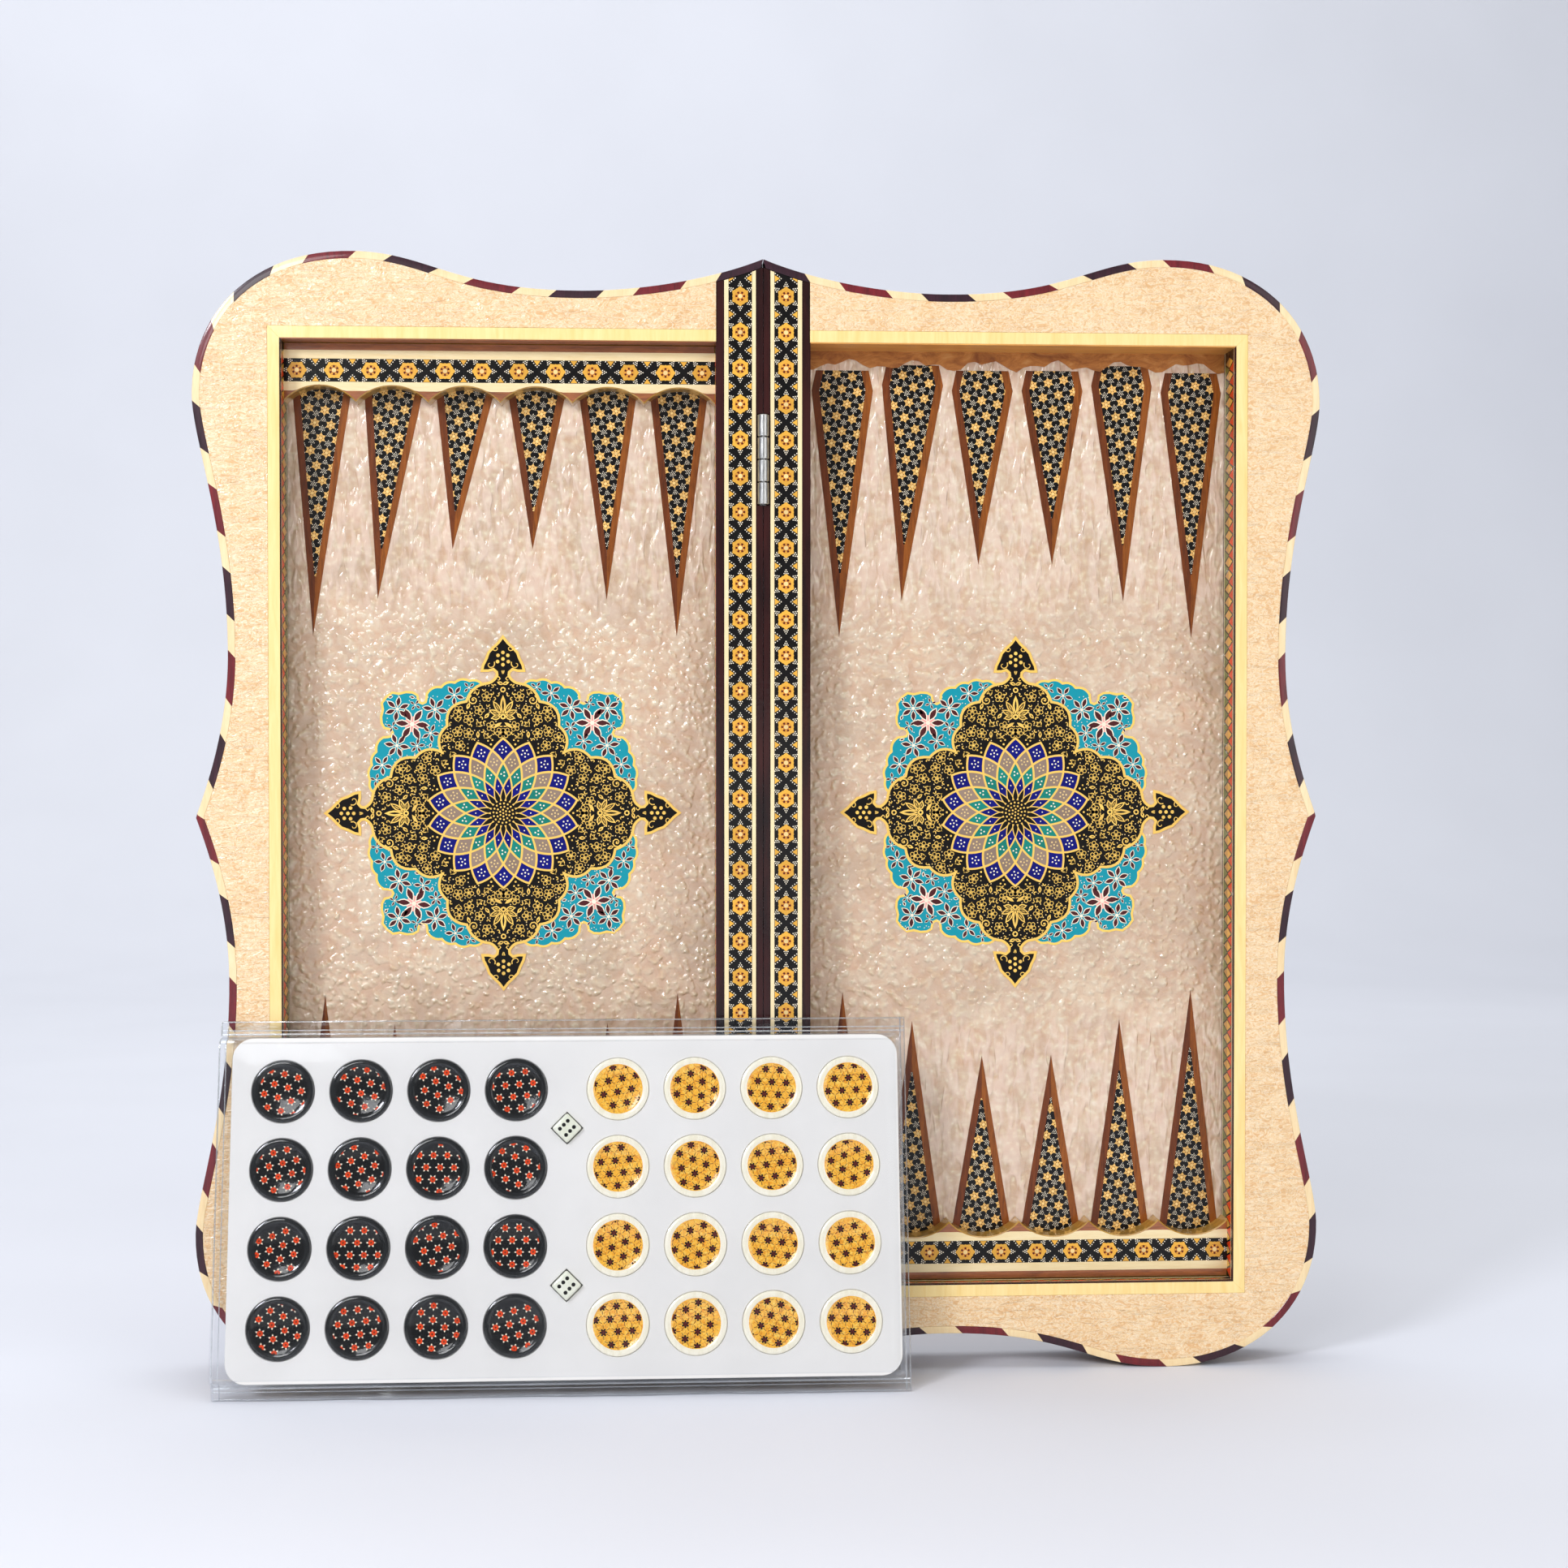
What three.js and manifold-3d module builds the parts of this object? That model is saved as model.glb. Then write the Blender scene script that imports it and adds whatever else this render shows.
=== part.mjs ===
// A folding backgammon board of inlaid wood, standing upright and open, and its playing
// pieces in a tray, in a clear vinyl pouch that leans on the board's lower left front.
//
// Millimetres. +X is right, +Y is away from the player, +Z is up. The origin is on the
// ground, under the middle of the whole set. Most of the board is worked out from its own
// middle: x from the hinge line, y back from the front rim, and z up from mid height.

import * as THREE from "three";
import { mergeVertices } from "three/addons/utils/BufferGeometryUtils.js";
import Module from "manifold-3d";

const wasm = await Module();
wasm.setup();

const GAP = 0.3; // between pieces that touch
const FAR = 400; // reaches past the board from its middle

// Outline of one half, as [x, z], from the hinge line round to the cusp at mid height.
const HINGE_CORNER = [GAP / 2, 246.5];
const TOP_VALLEY = [82, 231.8];
const TOP_CREST = [181, 248.2];
const SIDE_CREST = [250, 185];
const SIDE_VALLEY = [234.8, 72];
const CUSP = [249, 0];

// The curves between those points: each one's start, its two handles, and its end.
const OUTLINE_CURVES = [
  [HINGE_CORNER, [20, 238.3], [52, 231.8], TOP_VALLEY],
  [TOP_VALLEY, [138, 231.8], [147, 248.2], TOP_CREST],
  [TOP_CREST, [222, 248.2], [250, 222], SIDE_CREST],
  [SIDE_CREST, [250, 166], [234.8, 128], SIDE_VALLEY],
  [SIDE_VALLEY, [234.8, 40], [244, 14], CUSP],
];
const OUTLINE_STEPS = 6; // straight steps in each curve

// Depths, measured back from the front rim
const BOARD_DEPTH = 34;
const BACK_THICKNESS = 6.7;
const RECESS_DEPTH = 22;
const PANEL_THICKNESS = 4.7;
const FRAME_DEPTH = BOARD_DEPTH - BACK_THICKNESS - GAP;

// Mouth of each tray, and what lies round it
const RAIL_WIDTH = 20.5;
const MOUTH_X = 212; // hinge line to the far wall
const MOUTH_Z = 210; // mid height to the top and bottom walls
const BORDER_WIDTH = 5.2;
const BORDER_THICKNESS = 2;
const BANDING_WIDTH = 3.3;
const BANDING_THICKNESS = 6;
const INLAY_WIDTH = 14;
const INLAY_THICKNESS = 1.2;

// Ledges over the points' bases
const LEDGE_THICKNESS = 11.7;
const LEDGE_ARCHES = 6;
const LEDGE_TO_CROWN = 19.5; // wall to the highest point of each arch
const LEDGE_TO_CUSP = 26.5; // wall to the tips between the arches
const ARCH_STEPS = 6;

// Butt hinges
const HINGE_Z = 158; // mid height to the middle of each hinge
const HINGE_LENGTH = 40;
const HINGE_KNUCKLES = 4;
const KNUCKLE_RADIUS = 2.5;
const KNUCKLE_BORE = 1.5;
const KNUCKLE_GAP = 0.4;
const PIN_RADIUS = 1.1;
const LEAF_DEPTH = 18;
const LEAF_THICKNESS = 1.2;
const AXIS_PROUD = 0.3; // the pin's axis stands in front of the rim by this much
const ROUND_STEPS = 12;

// Playing pieces
const CHECKER_RADIUS = 13.5;
const CHECKER_THICKNESS = 7.5;
const CHECKER_RIM = 2.2;
const CHECKER_DISH = 1;
const CHECKER_PITCH = 33.6;
const CHECKER_STEPS = 14;
const CHECKER_ROWS = 4;
const BLOCK_X = 72.5; // tray's middle to the middle of each block of checkers
const DIE_SIZE = 9.3;
const DIE_CHAMFER = 0.8;

// Tray and pouch. Their own frame has its origin in the middle of the tray.
const TRAY_SIZE = new THREE.Vector3(290, 9, 147);
const TRAY_CORNER = 7;
const POCKET_DEPTH = 7;
const POCKET_RADIUS = 14.2;
const DIE_POCKET_SIZE = 10;
const FILM = 0.6;
const ROOM_FRONT = 3; // tray to the front film, over the pieces that stand proud
const ROOM_BACK = 0.4;
const ROOM_EDGE = 0.5;
const OPEN_END = 6; // the pouch's open end reaches past the tray by this much
const WELD_THICKNESS = 1.2;
const WELD_TOP = 7;
const WELD_BOTTOM = 6;
const WELD_SIDE = 3;
const TRAY_X = -86.5; // hinge line to the tray's middle
const LEAN = THREE.MathUtils.degToRad(11);
const LEAN_GAP = 0.5; // between the pouch's upper back edge and the board's rim

const finish = (color, roughness, metalness = 0) =>
  new THREE.MeshStandardMaterial({ color, roughness, metalness });

const VENEER = finish(0xf2d9b8, 0.35);
const BANDING = finish(0x6a3a34, 0.35);
const BORDER = finish(0xf8db8c, 0.4);
const MAROON = finish(0x4c2420, 0.35);
const KHATAM = finish(0x5c4426, 0.35);
const FIELD = finish(0xdcc3ad, 0.25);
const BACKING = finish(0x6b3b20, 0.4);
const WALNUT = finish(0x7c4420, 0.4);
const STEEL = finish(0xc4c4c2, 0.3, 1);
const TRAY_WHITE = finish(0xf2f0ee, 0.6);
const VINYL = finish(0xdfe6ea, 0.1);
const DARK_PIECE = finish(0x1d1b1b, 0.15);
const LIGHT_PIECE = finish(0xf0c878, 0.2);
const IVORY = finish(0xe9ecd2, 0.3);

// ---- Solids -------------------------------------------------------------------------

// A closed geometry as a solid that can be joined and cut.
function solid(geometry) {
  const bare = geometry.clone();
  bare.deleteAttribute("normal");
  bare.deleteAttribute("uv");
  const merged = mergeVertices(bare, 1e-4);
  return new wasm.Manifold(
    new wasm.Mesh({
      numProp: 3,
      vertProperties: new Float32Array(merged.attributes.position.array),
      triVerts: new Uint32Array(merged.index.array),
    }),
  );
}

function geometryOf(shape) {
  const mesh = shape.getMesh();
  const geometry = new THREE.BufferGeometry();
  geometry.setAttribute("position", new THREE.BufferAttribute(mesh.vertProperties, 3));
  geometry.setIndex(new THREE.BufferAttribute(mesh.triVerts, 1));
  geometry.computeVertexNormals();
  return geometry;
}

function block(x0, x1, y0, y1, z0, z1) {
  const geometry = new THREE.BoxGeometry(Math.abs(x1 - x0), Math.abs(y1 - y0), Math.abs(z1 - z0));
  geometry.translate((x0 + x1) / 2, (y0 + y1) / 2, (z0 + z1) / 2);
  return geometry;
}

// An outline drawn in x and z, carried back from y0 to y1.
function slab(shape, y0, y1, curveSegments = 1) {
  const depth = y1 - y0;
  const geometry = new THREE.ExtrudeGeometry(shape, { depth, curveSegments, bevelEnabled: false });
  geometry.rotateX(Math.PI / 2);
  geometry.translate(0, y1, 0);
  return geometry;
}

// An upright cylinder between two heights, on the hinge's axis.
function rod(radius, z0, z1) {
  const geometry = new THREE.CylinderGeometry(radius, radius, z1 - z0, ROUND_STEPS);
  geometry.rotateX(Math.PI / 2);
  geometry.translate(0, -AXIS_PROUD, (z0 + z1) / 2);
  return geometry;
}

function piece(name, geometry, material) {
  const mesh = new THREE.Mesh(geometry, material);
  mesh.name = name;
  return mesh;
}

// ---- Outline ------------------------------------------------------------------------

// Points down the outline of one half, from the hinge corner at the top to the one at
// the bottom: five curves to the cusp, and the same five mirrored below it.
function outlinePoints() {
  const upper = [new THREE.Vector2(...HINGE_CORNER)];
  for (const points of OUTLINE_CURVES) {
    const curve = new THREE.CubicBezierCurve(...points.map(([x, z]) => new THREE.Vector2(x, z)));
    upper.push(...curve.getPoints(OUTLINE_STEPS).slice(1));
  }
  const lower = upper.slice(0, -1).map((point) => new THREE.Vector2(point.x, -point.y));
  return [...upper, ...lower.reverse()];
}

// The same points moved towards the inside of the board. The first and last slide along
// the hinge line.
function inset(points, distance) {
  const last = points.length - 1;
  const normal = (a, b) => new THREE.Vector2(b.y - a.y, a.x - b.x).normalize();
  return points.map((point, i) => {
    const before = normal(points[Math.max(i - 1, 0)], points[Math.max(i, 1)]);
    const after = normal(points[Math.min(i, last - 1)], points[Math.min(i + 1, last)]);
    const mitre = before.clone().add(after).normalize();
    const moved = point.clone().addScaledVector(mitre, distance / mitre.dot(after));
    if (i > 0 && i < last) return moved;
    const along = (HINGE_CORNER[0] - moved.x) / after.y;
    return new THREE.Vector2(HINGE_CORNER[0], moved.y - along * after.x);
  });
}

const OUTLINE = outlinePoints();

// A half's whole shape, drawn in by a distance, on the side given by 1 or -1.
function halfShape(side, distance) {
  const points = distance > 0 ? inset(OUTLINE, distance) : OUTLINE;
  return new THREE.Shape(points.map((point) => new THREE.Vector2(side * point.x, point.y)));
}

// ---- One half of the board ----------------------------------------------------------

// Rim and rail together: the whole outline, stepped in at the front for the banding.
function bodySolid(side) {
  const behind = solid(slab(halfShape(side, 0), BANDING_THICKNESS + GAP, FRAME_DEPTH));
  const front = solid(slab(halfShape(side, BANDING_WIDTH + GAP), 0, BANDING_THICKNESS + 2 * GAP));
  return behind.add(front);
}

function frameGeometry(side) {
  const x0 = side * (RAIL_WIDTH + GAP);
  const reach = MOUTH_Z + BORDER_WIDTH + GAP;
  const away = block(-side * FAR, x0, -FAR, FAR, -FAR, FAR);
  const mouth = block(0, side * MOUTH_X, -FAR, FAR, -MOUTH_Z, MOUTH_Z);
  const rebateX = side * (MOUTH_X + BORDER_WIDTH + GAP);
  const rebate = block(0, rebateX, -FAR, BORDER_THICKNESS + GAP, -reach, reach);
  const cuts = [away, mouth, rebate];
  return geometryOf(cuts.reduce((rim, cut) => rim.subtract(solid(cut)), bodySolid(side)));
}

function borderGeometry(side) {
  const x0 = side * (RAIL_WIDTH + GAP);
  const reach = MOUTH_Z + BORDER_WIDTH;
  const strip = block(x0, side * (MOUTH_X + BORDER_WIDTH), 0, BORDER_THICKNESS, -reach, reach);
  const mouth = block(0, side * MOUTH_X, -FAR, FAR, -MOUTH_Z, MOUTH_Z);
  return geometryOf(solid(strip).subtract(solid(mouth)));
}

// The strip of blocks round the front edge, from hinge line to hinge line.
function bandingGeometry(side) {
  const outer = solid(slab(halfShape(side, 0), 0, BANDING_THICKNESS));
  const inner = solid(slab(halfShape(side, BANDING_WIDTH), -FAR, FAR));
  return geometryOf(outer.subtract(inner));
}

// The rail along the hinge line, with a bed for its inlay, and a groove and a mortise for
// each hinge.
function railGeometry(side) {
  const room = block(0, side * RAIL_WIDTH, -FAR, FAR, -FAR, FAR);
  const inlayX = side * RAIL_WIDTH / 2;
  const halfBed = INLAY_WIDTH / 2 + GAP;
  const bed = block(inlayX - halfBed, inlayX + halfBed, -FAR, INLAY_THICKNESS + GAP, -FAR, FAR);
  const cuts = [bed];
  for (const z of [HINGE_Z, -HINGE_Z]) {
    const half = HINGE_LENGTH / 2 + GAP;
    cuts.push(rod(KNUCKLE_RADIUS + GAP, z - half, z + half));
    const mortiseX = side * (GAP / 2 + LEAF_THICKNESS + GAP);
    cuts.push(block(-side * FAR, mortiseX, -FAR, LEAF_DEPTH + GAP, z - half, z + half));
  }
  const whole = bodySolid(side).intersect(solid(room));
  return geometryOf(cuts.reduce((rail, cut) => rail.subtract(solid(cut)), whole));
}

function inlayGeometry(side) {
  const inlayX = side * RAIL_WIDTH / 2;
  const room = block(inlayX - INLAY_WIDTH / 2, inlayX + INLAY_WIDTH / 2, -FAR, FAR, -FAR, FAR);
  const front = slab(halfShape(side, BANDING_WIDTH + GAP), 0, INLAY_THICKNESS);
  return geometryOf(solid(front).intersect(solid(room)));
}

function panelGeometry(side) {
  const y1 = RECESS_DEPTH + PANEL_THICKNESS;
  const z1 = MOUTH_Z - GAP;
  return block(side * (RAIL_WIDTH + GAP), side * (MOUTH_X - GAP), RECESS_DEPTH, y1, -z1, z1);
}

// A bar across one end of the tray, whose inner edge is a row of arches. up is 1 for the
// top and -1 for the bottom.
function ledgeGeometry(side, up) {
  const x0 = RAIL_WIDTH + GAP;
  const x1 = MOUTH_X - GAP;
  const wall = up * (MOUTH_Z - GAP);
  const cusp = up * (MOUTH_Z - LEDGE_TO_CUSP);
  const width = (x1 - x0) / LEDGE_ARCHES;
  const rise = LEDGE_TO_CUSP - LEDGE_TO_CROWN;
  const radius = ((width / 2) ** 2 + rise ** 2) / (2 * rise);
  const spread = Math.asin(width / 2 / radius);
  const centre = cusp - up * (radius - rise);
  const shape = new THREE.Shape();
  shape.moveTo(side * x0, wall);
  shape.lineTo(side * x0, cusp);
  for (let arch = 0; arch < LEDGE_ARCHES; arch += 1) {
    const middle = x0 + (arch + 0.5) * width;
    for (let step = 1; step <= ARCH_STEPS; step += 1) {
      const angle = -spread + (2 * spread * step) / ARCH_STEPS;
      shape.lineTo(side * (middle + radius * Math.sin(angle)), centre + up * radius * Math.cos(angle));
    }
  }
  shape.lineTo(side * x1, wall);
  const y1 = RECESS_DEPTH - GAP;
  return slab(shape, y1 - LEDGE_THICKNESS, y1);
}

function boardHalf(name, side, ledges) {
  const half = new THREE.Group();
  half.add(piece(`${name}_frame`, frameGeometry(side), VENEER));
  half.add(piece(`${name}_edge_banding`, bandingGeometry(side), BANDING));
  half.add(piece(`${name}_border_strip`, borderGeometry(side), BORDER));
  half.add(piece(`${name}_hinge_rail`, railGeometry(side), MAROON));
  half.add(piece(`${name}_rail_inlay`, inlayGeometry(side), KHATAM));
  half.add(piece(`${name}_playing_panel`, panelGeometry(side), FIELD));
  const back = slab(halfShape(side, 0), BOARD_DEPTH - BACK_THICKNESS, BOARD_DEPTH);
  half.add(piece(`${name}_back_panel`, back, BACKING));
  for (const [place, up] of ledges) {
    half.add(piece(`${name}_${place}_ledge`, ledgeGeometry(side, up), WALNUT));
  }
  return half;
}

// ---- Hinges -------------------------------------------------------------------------

// A leaf with its knuckles. It lies against the rail's side, and its tongues reach
// forward to every second knuckle.
function leafGeometry(side, middle, firstKnuckle) {
  const x0 = side * GAP / 2;
  const x1 = side * (GAP / 2 + LEAF_THICKNESS);
  const bottom = middle - HINGE_LENGTH / 2;
  const pitch = HINGE_LENGTH / HINGE_KNUCKLES;
  const plateFront = KNUCKLE_RADIUS + GAP;
  let leaf = solid(block(x0, x1, plateFront, LEAF_DEPTH, bottom, bottom + HINGE_LENGTH));
  let bores = null;
  for (let knuckle = firstKnuckle; knuckle < HINGE_KNUCKLES; knuckle += 2) {
    const z0 = bottom + knuckle * pitch + KNUCKLE_GAP / 2;
    const z1 = bottom + (knuckle + 1) * pitch - KNUCKLE_GAP / 2;
    leaf = leaf.add(solid(block(x0, x1, 0, plateFront + 1, z0, z1)));
    leaf = leaf.add(solid(rod(KNUCKLE_RADIUS, z0, z1)));
    const bore = solid(rod(KNUCKLE_BORE, z0 - 1, z1 + 1));
    bores = bores ? bores.add(bore) : bore;
  }
  return geometryOf(leaf.subtract(bores));
}

function hinge(name, middle) {
  const half = HINGE_LENGTH / 2 - KNUCKLE_GAP;
  const parts = new THREE.Group();
  parts.add(piece(`${name}_hinge_left_leaf`, leafGeometry(-1, middle, 0), STEEL));
  parts.add(piece(`${name}_hinge_right_leaf`, leafGeometry(1, middle, 1), STEEL));
  parts.add(piece(`${name}_hinge_pin`, rod(PIN_RADIUS, middle - half, middle + half), STEEL));
  return parts;
}

// ---- Playing pieces -----------------------------------------------------------------

// A round piece that faces forward, dished inside its rim. Its back is at y = 0.
function checkerGeometry() {
  const dishY = CHECKER_THICKNESS - CHECKER_DISH;
  const profile = [
    [0, 0],
    [CHECKER_RADIUS, 0],
    [CHECKER_RADIUS, CHECKER_THICKNESS],
    [CHECKER_RADIUS - CHECKER_RIM, CHECKER_THICKNESS],
    [CHECKER_RADIUS - CHECKER_RIM - CHECKER_DISH, dishY],
    [0, dishY],
  ].map(([r, y]) => new THREE.Vector2(r, y));
  const geometry = new THREE.LatheGeometry(profile, CHECKER_STEPS);
  geometry.rotateX(Math.PI);
  return geometryOf(solid(geometry));
}

function dieGeometry() {
  const half = DIE_SIZE / 2 - DIE_CHAMFER;
  const square = new THREE.Shape();
  square.moveTo(-half, -half);
  square.lineTo(half, -half);
  square.lineTo(half, half);
  square.lineTo(-half, half);
  const geometry = new THREE.ExtrudeGeometry(square, {
    depth: DIE_SIZE - 2 * DIE_CHAMFER,
    bevelThickness: DIE_CHAMFER,
    bevelSize: DIE_CHAMFER,
    bevelSegments: 1,
    curveSegments: 1,
  });
  geometry.translate(0, 0, DIE_CHAMFER);
  geometry.rotateX(Math.PI / 2);
  geometry.rotateY(Math.PI / 4);
  return geometryOf(solid(geometry));
}

// Places in the tray, as [x, z] from its middle.
function checkerPlaces(blockX) {
  const places = [];
  const offset = (CHECKER_ROWS - 1) / 2;
  for (let row = 0; row < CHECKER_ROWS; row += 1) {
    for (let column = 0; column < CHECKER_ROWS; column += 1) {
      places.push([blockX + (column - offset) * CHECKER_PITCH, (offset - row) * CHECKER_PITCH]);
    }
  }
  return places;
}

const DARK_PLACES = checkerPlaces(-BLOCK_X);
const LIGHT_PLACES = checkerPlaces(BLOCK_X);
const DIE_PLACES = [[0, CHECKER_PITCH], [0, -CHECKER_PITCH]];

// ---- Tray and pouch -----------------------------------------------------------------

function roundedRectangle(width, height, radius) {
  const [x, z] = [width / 2 - radius, height / 2 - radius];
  const shape = new THREE.Shape();
  shape.absarc(x, z, radius, 0, Math.PI / 2);
  shape.absarc(-x, z, radius, Math.PI / 2, Math.PI);
  shape.absarc(-x, -z, radius, Math.PI, 1.5 * Math.PI);
  shape.absarc(x, -z, radius, 1.5 * Math.PI, 2 * Math.PI);
  return shape;
}

// A pocket's outline: a polygon about a place, with its first corner at a given angle.
function pocket([x, z], radius, corners, start) {
  const path = new THREE.Path();
  for (let corner = 0; corner <= corners; corner += 1) {
    const angle = start + (corner / corners) * 2 * Math.PI;
    const [px, pz] = [x + radius * Math.cos(angle), z + radius * Math.sin(angle)];
    if (corner === 0) path.moveTo(px, pz);
    else path.lineTo(px, pz);
  }
  return path;
}

function trayGeometry() {
  const [front, back] = [-TRAY_SIZE.y / 2, TRAY_SIZE.y / 2];
  const pierced = roundedRectangle(TRAY_SIZE.x, TRAY_SIZE.z, TRAY_CORNER);
  for (const place of [...DARK_PLACES, ...LIGHT_PLACES]) {
    pierced.holes.push(pocket(place, POCKET_RADIUS, CHECKER_STEPS, 0));
  }
  for (const place of DIE_PLACES) {
    pierced.holes.push(pocket(place, DIE_POCKET_SIZE / Math.SQRT2, 4, 0));
  }
  const base = roundedRectangle(TRAY_SIZE.x, TRAY_SIZE.z, TRAY_CORNER);
  const steps = 3;
  const upper = solid(slab(pierced, front, front + POCKET_DEPTH, steps));
  const lower = solid(slab(base, front + POCKET_DEPTH, back, steps));
  return geometryOf(upper.add(lower));
}

function trayWithPieces() {
  const tray = new THREE.Group();
  tray.add(piece("piece_tray", trayGeometry(), TRAY_WHITE));
  const pocketFloor = -TRAY_SIZE.y / 2 + POCKET_DEPTH - GAP;
  const put = (name, geometry, material, [x, z]) => {
    const mesh = piece(name, geometry, material);
    mesh.position.set(x, pocketFloor, z);
    tray.add(mesh);
  };
  const numbered = (name, i) => `${name}_${String(i + 1).padStart(2, "0")}`;
  DARK_PLACES.forEach((place, i) => {
    put(numbered("dark_checker", i), checkerGeometry(), DARK_PIECE, place);
  });
  LIGHT_PLACES.forEach((place, i) => {
    put(numbered("light_checker", i), checkerGeometry(), LIGHT_PIECE, place);
  });
  DIE_PLACES.forEach((place, i) => put(numbered("die", i), dieGeometry(), IVORY, place));
  return tray;
}

// Inside faces of the pouch, as low and high x, y and z
const ROOM = {
  x: [-TRAY_SIZE.x / 2 - OPEN_END, TRAY_SIZE.x / 2 + ROOM_EDGE],
  y: [-TRAY_SIZE.y / 2 - ROOM_FRONT, TRAY_SIZE.y / 2 + ROOM_BACK],
  z: [-TRAY_SIZE.z / 2 - ROOM_EDGE, TRAY_SIZE.z / 2 + ROOM_EDGE],
};

// A flat sleeve of film round the tray, open at its left end, with a welded edge on its
// other three sides.
function pouchGeometry() {
  const { x, y, z } = ROOM;
  const sleeve = block(x[0], x[1] + FILM, y[0] - FILM, y[1] + FILM, z[0] - FILM, z[1] + FILM);
  const half = WELD_THICKNESS / 2;
  const [low, high] = [z[0] - FILM - WELD_BOTTOM, z[1] + FILM + WELD_TOP];
  const weld = block(x[0], x[1] + FILM + WELD_SIDE, -half, half, low, high);
  const room = block(x[0] - 1, x[1], y[0], y[1], z[0], z[1]);
  return geometryOf(solid(sleeve).add(solid(weld)).subtract(solid(room)));
}

// The pouch stands on its lower weld and leans back until its upper back edge is at the
// board's rim, at y = 0. The board's mid height is at z = 0.
function leaningPouch() {
  const [sin, cos] = [Math.sin(LEAN), Math.cos(LEAN)];
  const lowest = (ROOM.z[0] - FILM - WELD_BOTTOM) * cos - (WELD_THICKNESS / 2) * sin;
  const rearmost = (ROOM.y[1] + FILM) * cos + (ROOM.z[1] + FILM) * sin;
  const leaning = new THREE.Group();
  leaning.add(piece("pouch", pouchGeometry(), VINYL));
  leaning.add(trayWithPieces());
  leaning.rotation.x = -LEAN;
  leaning.position.set(TRAY_X, -LEAN_GAP - rearmost, -TOP_CREST[1] - lowest);
  return leaning;
}

// ---- The whole set ------------------------------------------------------------------

const set = new THREE.Group();
set.add(boardHalf("left", -1, [["top", 1], ["bottom", -1]]));
set.add(boardHalf("right", 1, [["bottom", -1]]));
set.add(hinge("upper", HINGE_Z));
set.add(hinge("lower", -HINGE_Z));
set.add(leaningPouch());

set.updateMatrixWorld(true);
const box = new THREE.Box3().setFromObject(set, true);
set.position.set(0, -(box.min.y + box.max.y) / 2, TOP_CREST[1]);
set.updateMatrixWorld(true);

export default set;
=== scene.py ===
import math
import random

import bmesh
import bpy
import numpy as np
from mathutils import Matrix, Vector
from mathutils.geometry import tessellate_polygon


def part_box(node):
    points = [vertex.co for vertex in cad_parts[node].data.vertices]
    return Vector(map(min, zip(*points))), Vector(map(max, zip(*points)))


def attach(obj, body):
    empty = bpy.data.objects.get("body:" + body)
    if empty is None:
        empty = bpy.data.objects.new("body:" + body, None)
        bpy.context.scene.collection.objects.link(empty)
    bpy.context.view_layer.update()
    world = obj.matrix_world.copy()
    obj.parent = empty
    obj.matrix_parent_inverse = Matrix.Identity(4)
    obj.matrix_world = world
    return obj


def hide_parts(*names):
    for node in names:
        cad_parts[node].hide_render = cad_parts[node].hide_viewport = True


# A folding inlaid backgammon board, open on its edge, with its pieces in a clear pouch.
#
# Every piece is drawn in millimetres and placed by one of two matrices. BOARD has its
# origin on the hinge line, at mid height, in the plane of the rim: x right, y back, z up.
# TRAY has its origin in the middle of the piece tray and leans back with it. A half of
# the board is always drawn as the right one, and mirrored for the left.

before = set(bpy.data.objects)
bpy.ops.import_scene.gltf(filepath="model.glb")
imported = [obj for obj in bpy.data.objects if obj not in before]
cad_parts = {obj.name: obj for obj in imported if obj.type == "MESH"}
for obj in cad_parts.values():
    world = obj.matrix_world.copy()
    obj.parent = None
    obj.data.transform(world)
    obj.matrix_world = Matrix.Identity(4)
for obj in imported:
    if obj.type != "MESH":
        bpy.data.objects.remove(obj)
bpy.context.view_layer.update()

MM = 0.001
LEAN = math.radians(11)  # how far the pouch and its tray lean back

strip_low, strip_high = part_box("right_border_strip")
BOARD_ORIGIN = Vector((0, strip_low.y, (strip_low.z + strip_high.z) / 2))
BOARD = Matrix.Translation(BOARD_ORIGIN) @ Matrix.Scale(MM, 4)

tray_low, tray_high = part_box("piece_tray")
TRAY_ORIGIN = (tray_low + tray_high) / 2
TRAY = Matrix.Translation(TRAY_ORIGIN) @ Matrix.Rotation(-LEAN, 4, "X") @ Matrix.Scale(MM, 4)


def board_box(node):
    """A CAD node's lowest and highest corner, in board millimetres."""
    low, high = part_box(node)
    return (low - BOARD_ORIGIN) / MM, (high - BOARD_ORIGIN) / MM


def tray_place(node):
    """A CAD node's middle, in tray millimetres."""
    low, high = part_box(node)
    return TRAY.inverted() @ ((low + high) / 2)


panel_low, panel_high = board_box("right_playing_panel")
inlay_low, inlay_high = board_box("right_rail_inlay")
border_low, border_high = board_box("right_border_strip")
ledge_low, ledge_high = board_box("right_bottom_ledge")
back_low, back_high = board_box("right_back_panel")

RAIL_X = board_box("right_hinge_rail")[1].x
FRAME_Y = board_box("right_frame")[1].y
GAP = panel_low.x - RAIL_X
FIELD_X0, FIELD_X1 = panel_low.x, panel_high.x
FIELD_WIDTH = FIELD_X1 - FIELD_X0
FIELD_Z = panel_high.z
FIELD_Y, FIELD_BACK = panel_low.y, panel_high.y
MOUTH_X, MOUTH_Z = FIELD_X1 + GAP, FIELD_Z + GAP
BORDER_X, BORDER_Z = border_high.x, border_high.z
BORDER_DEPTH = border_high.y - border_low.y
RIM_X0 = RAIL_X + GAP
INLAY_X0, INLAY_X1, INLAY_BACK = inlay_low.x, inlay_high.x, inlay_high.y
LEDGE_Y0, LEDGE_Y1 = ledge_low.y, ledge_high.y
BACK_Y0, BACK_Y1 = back_low.y, back_high.y

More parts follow.
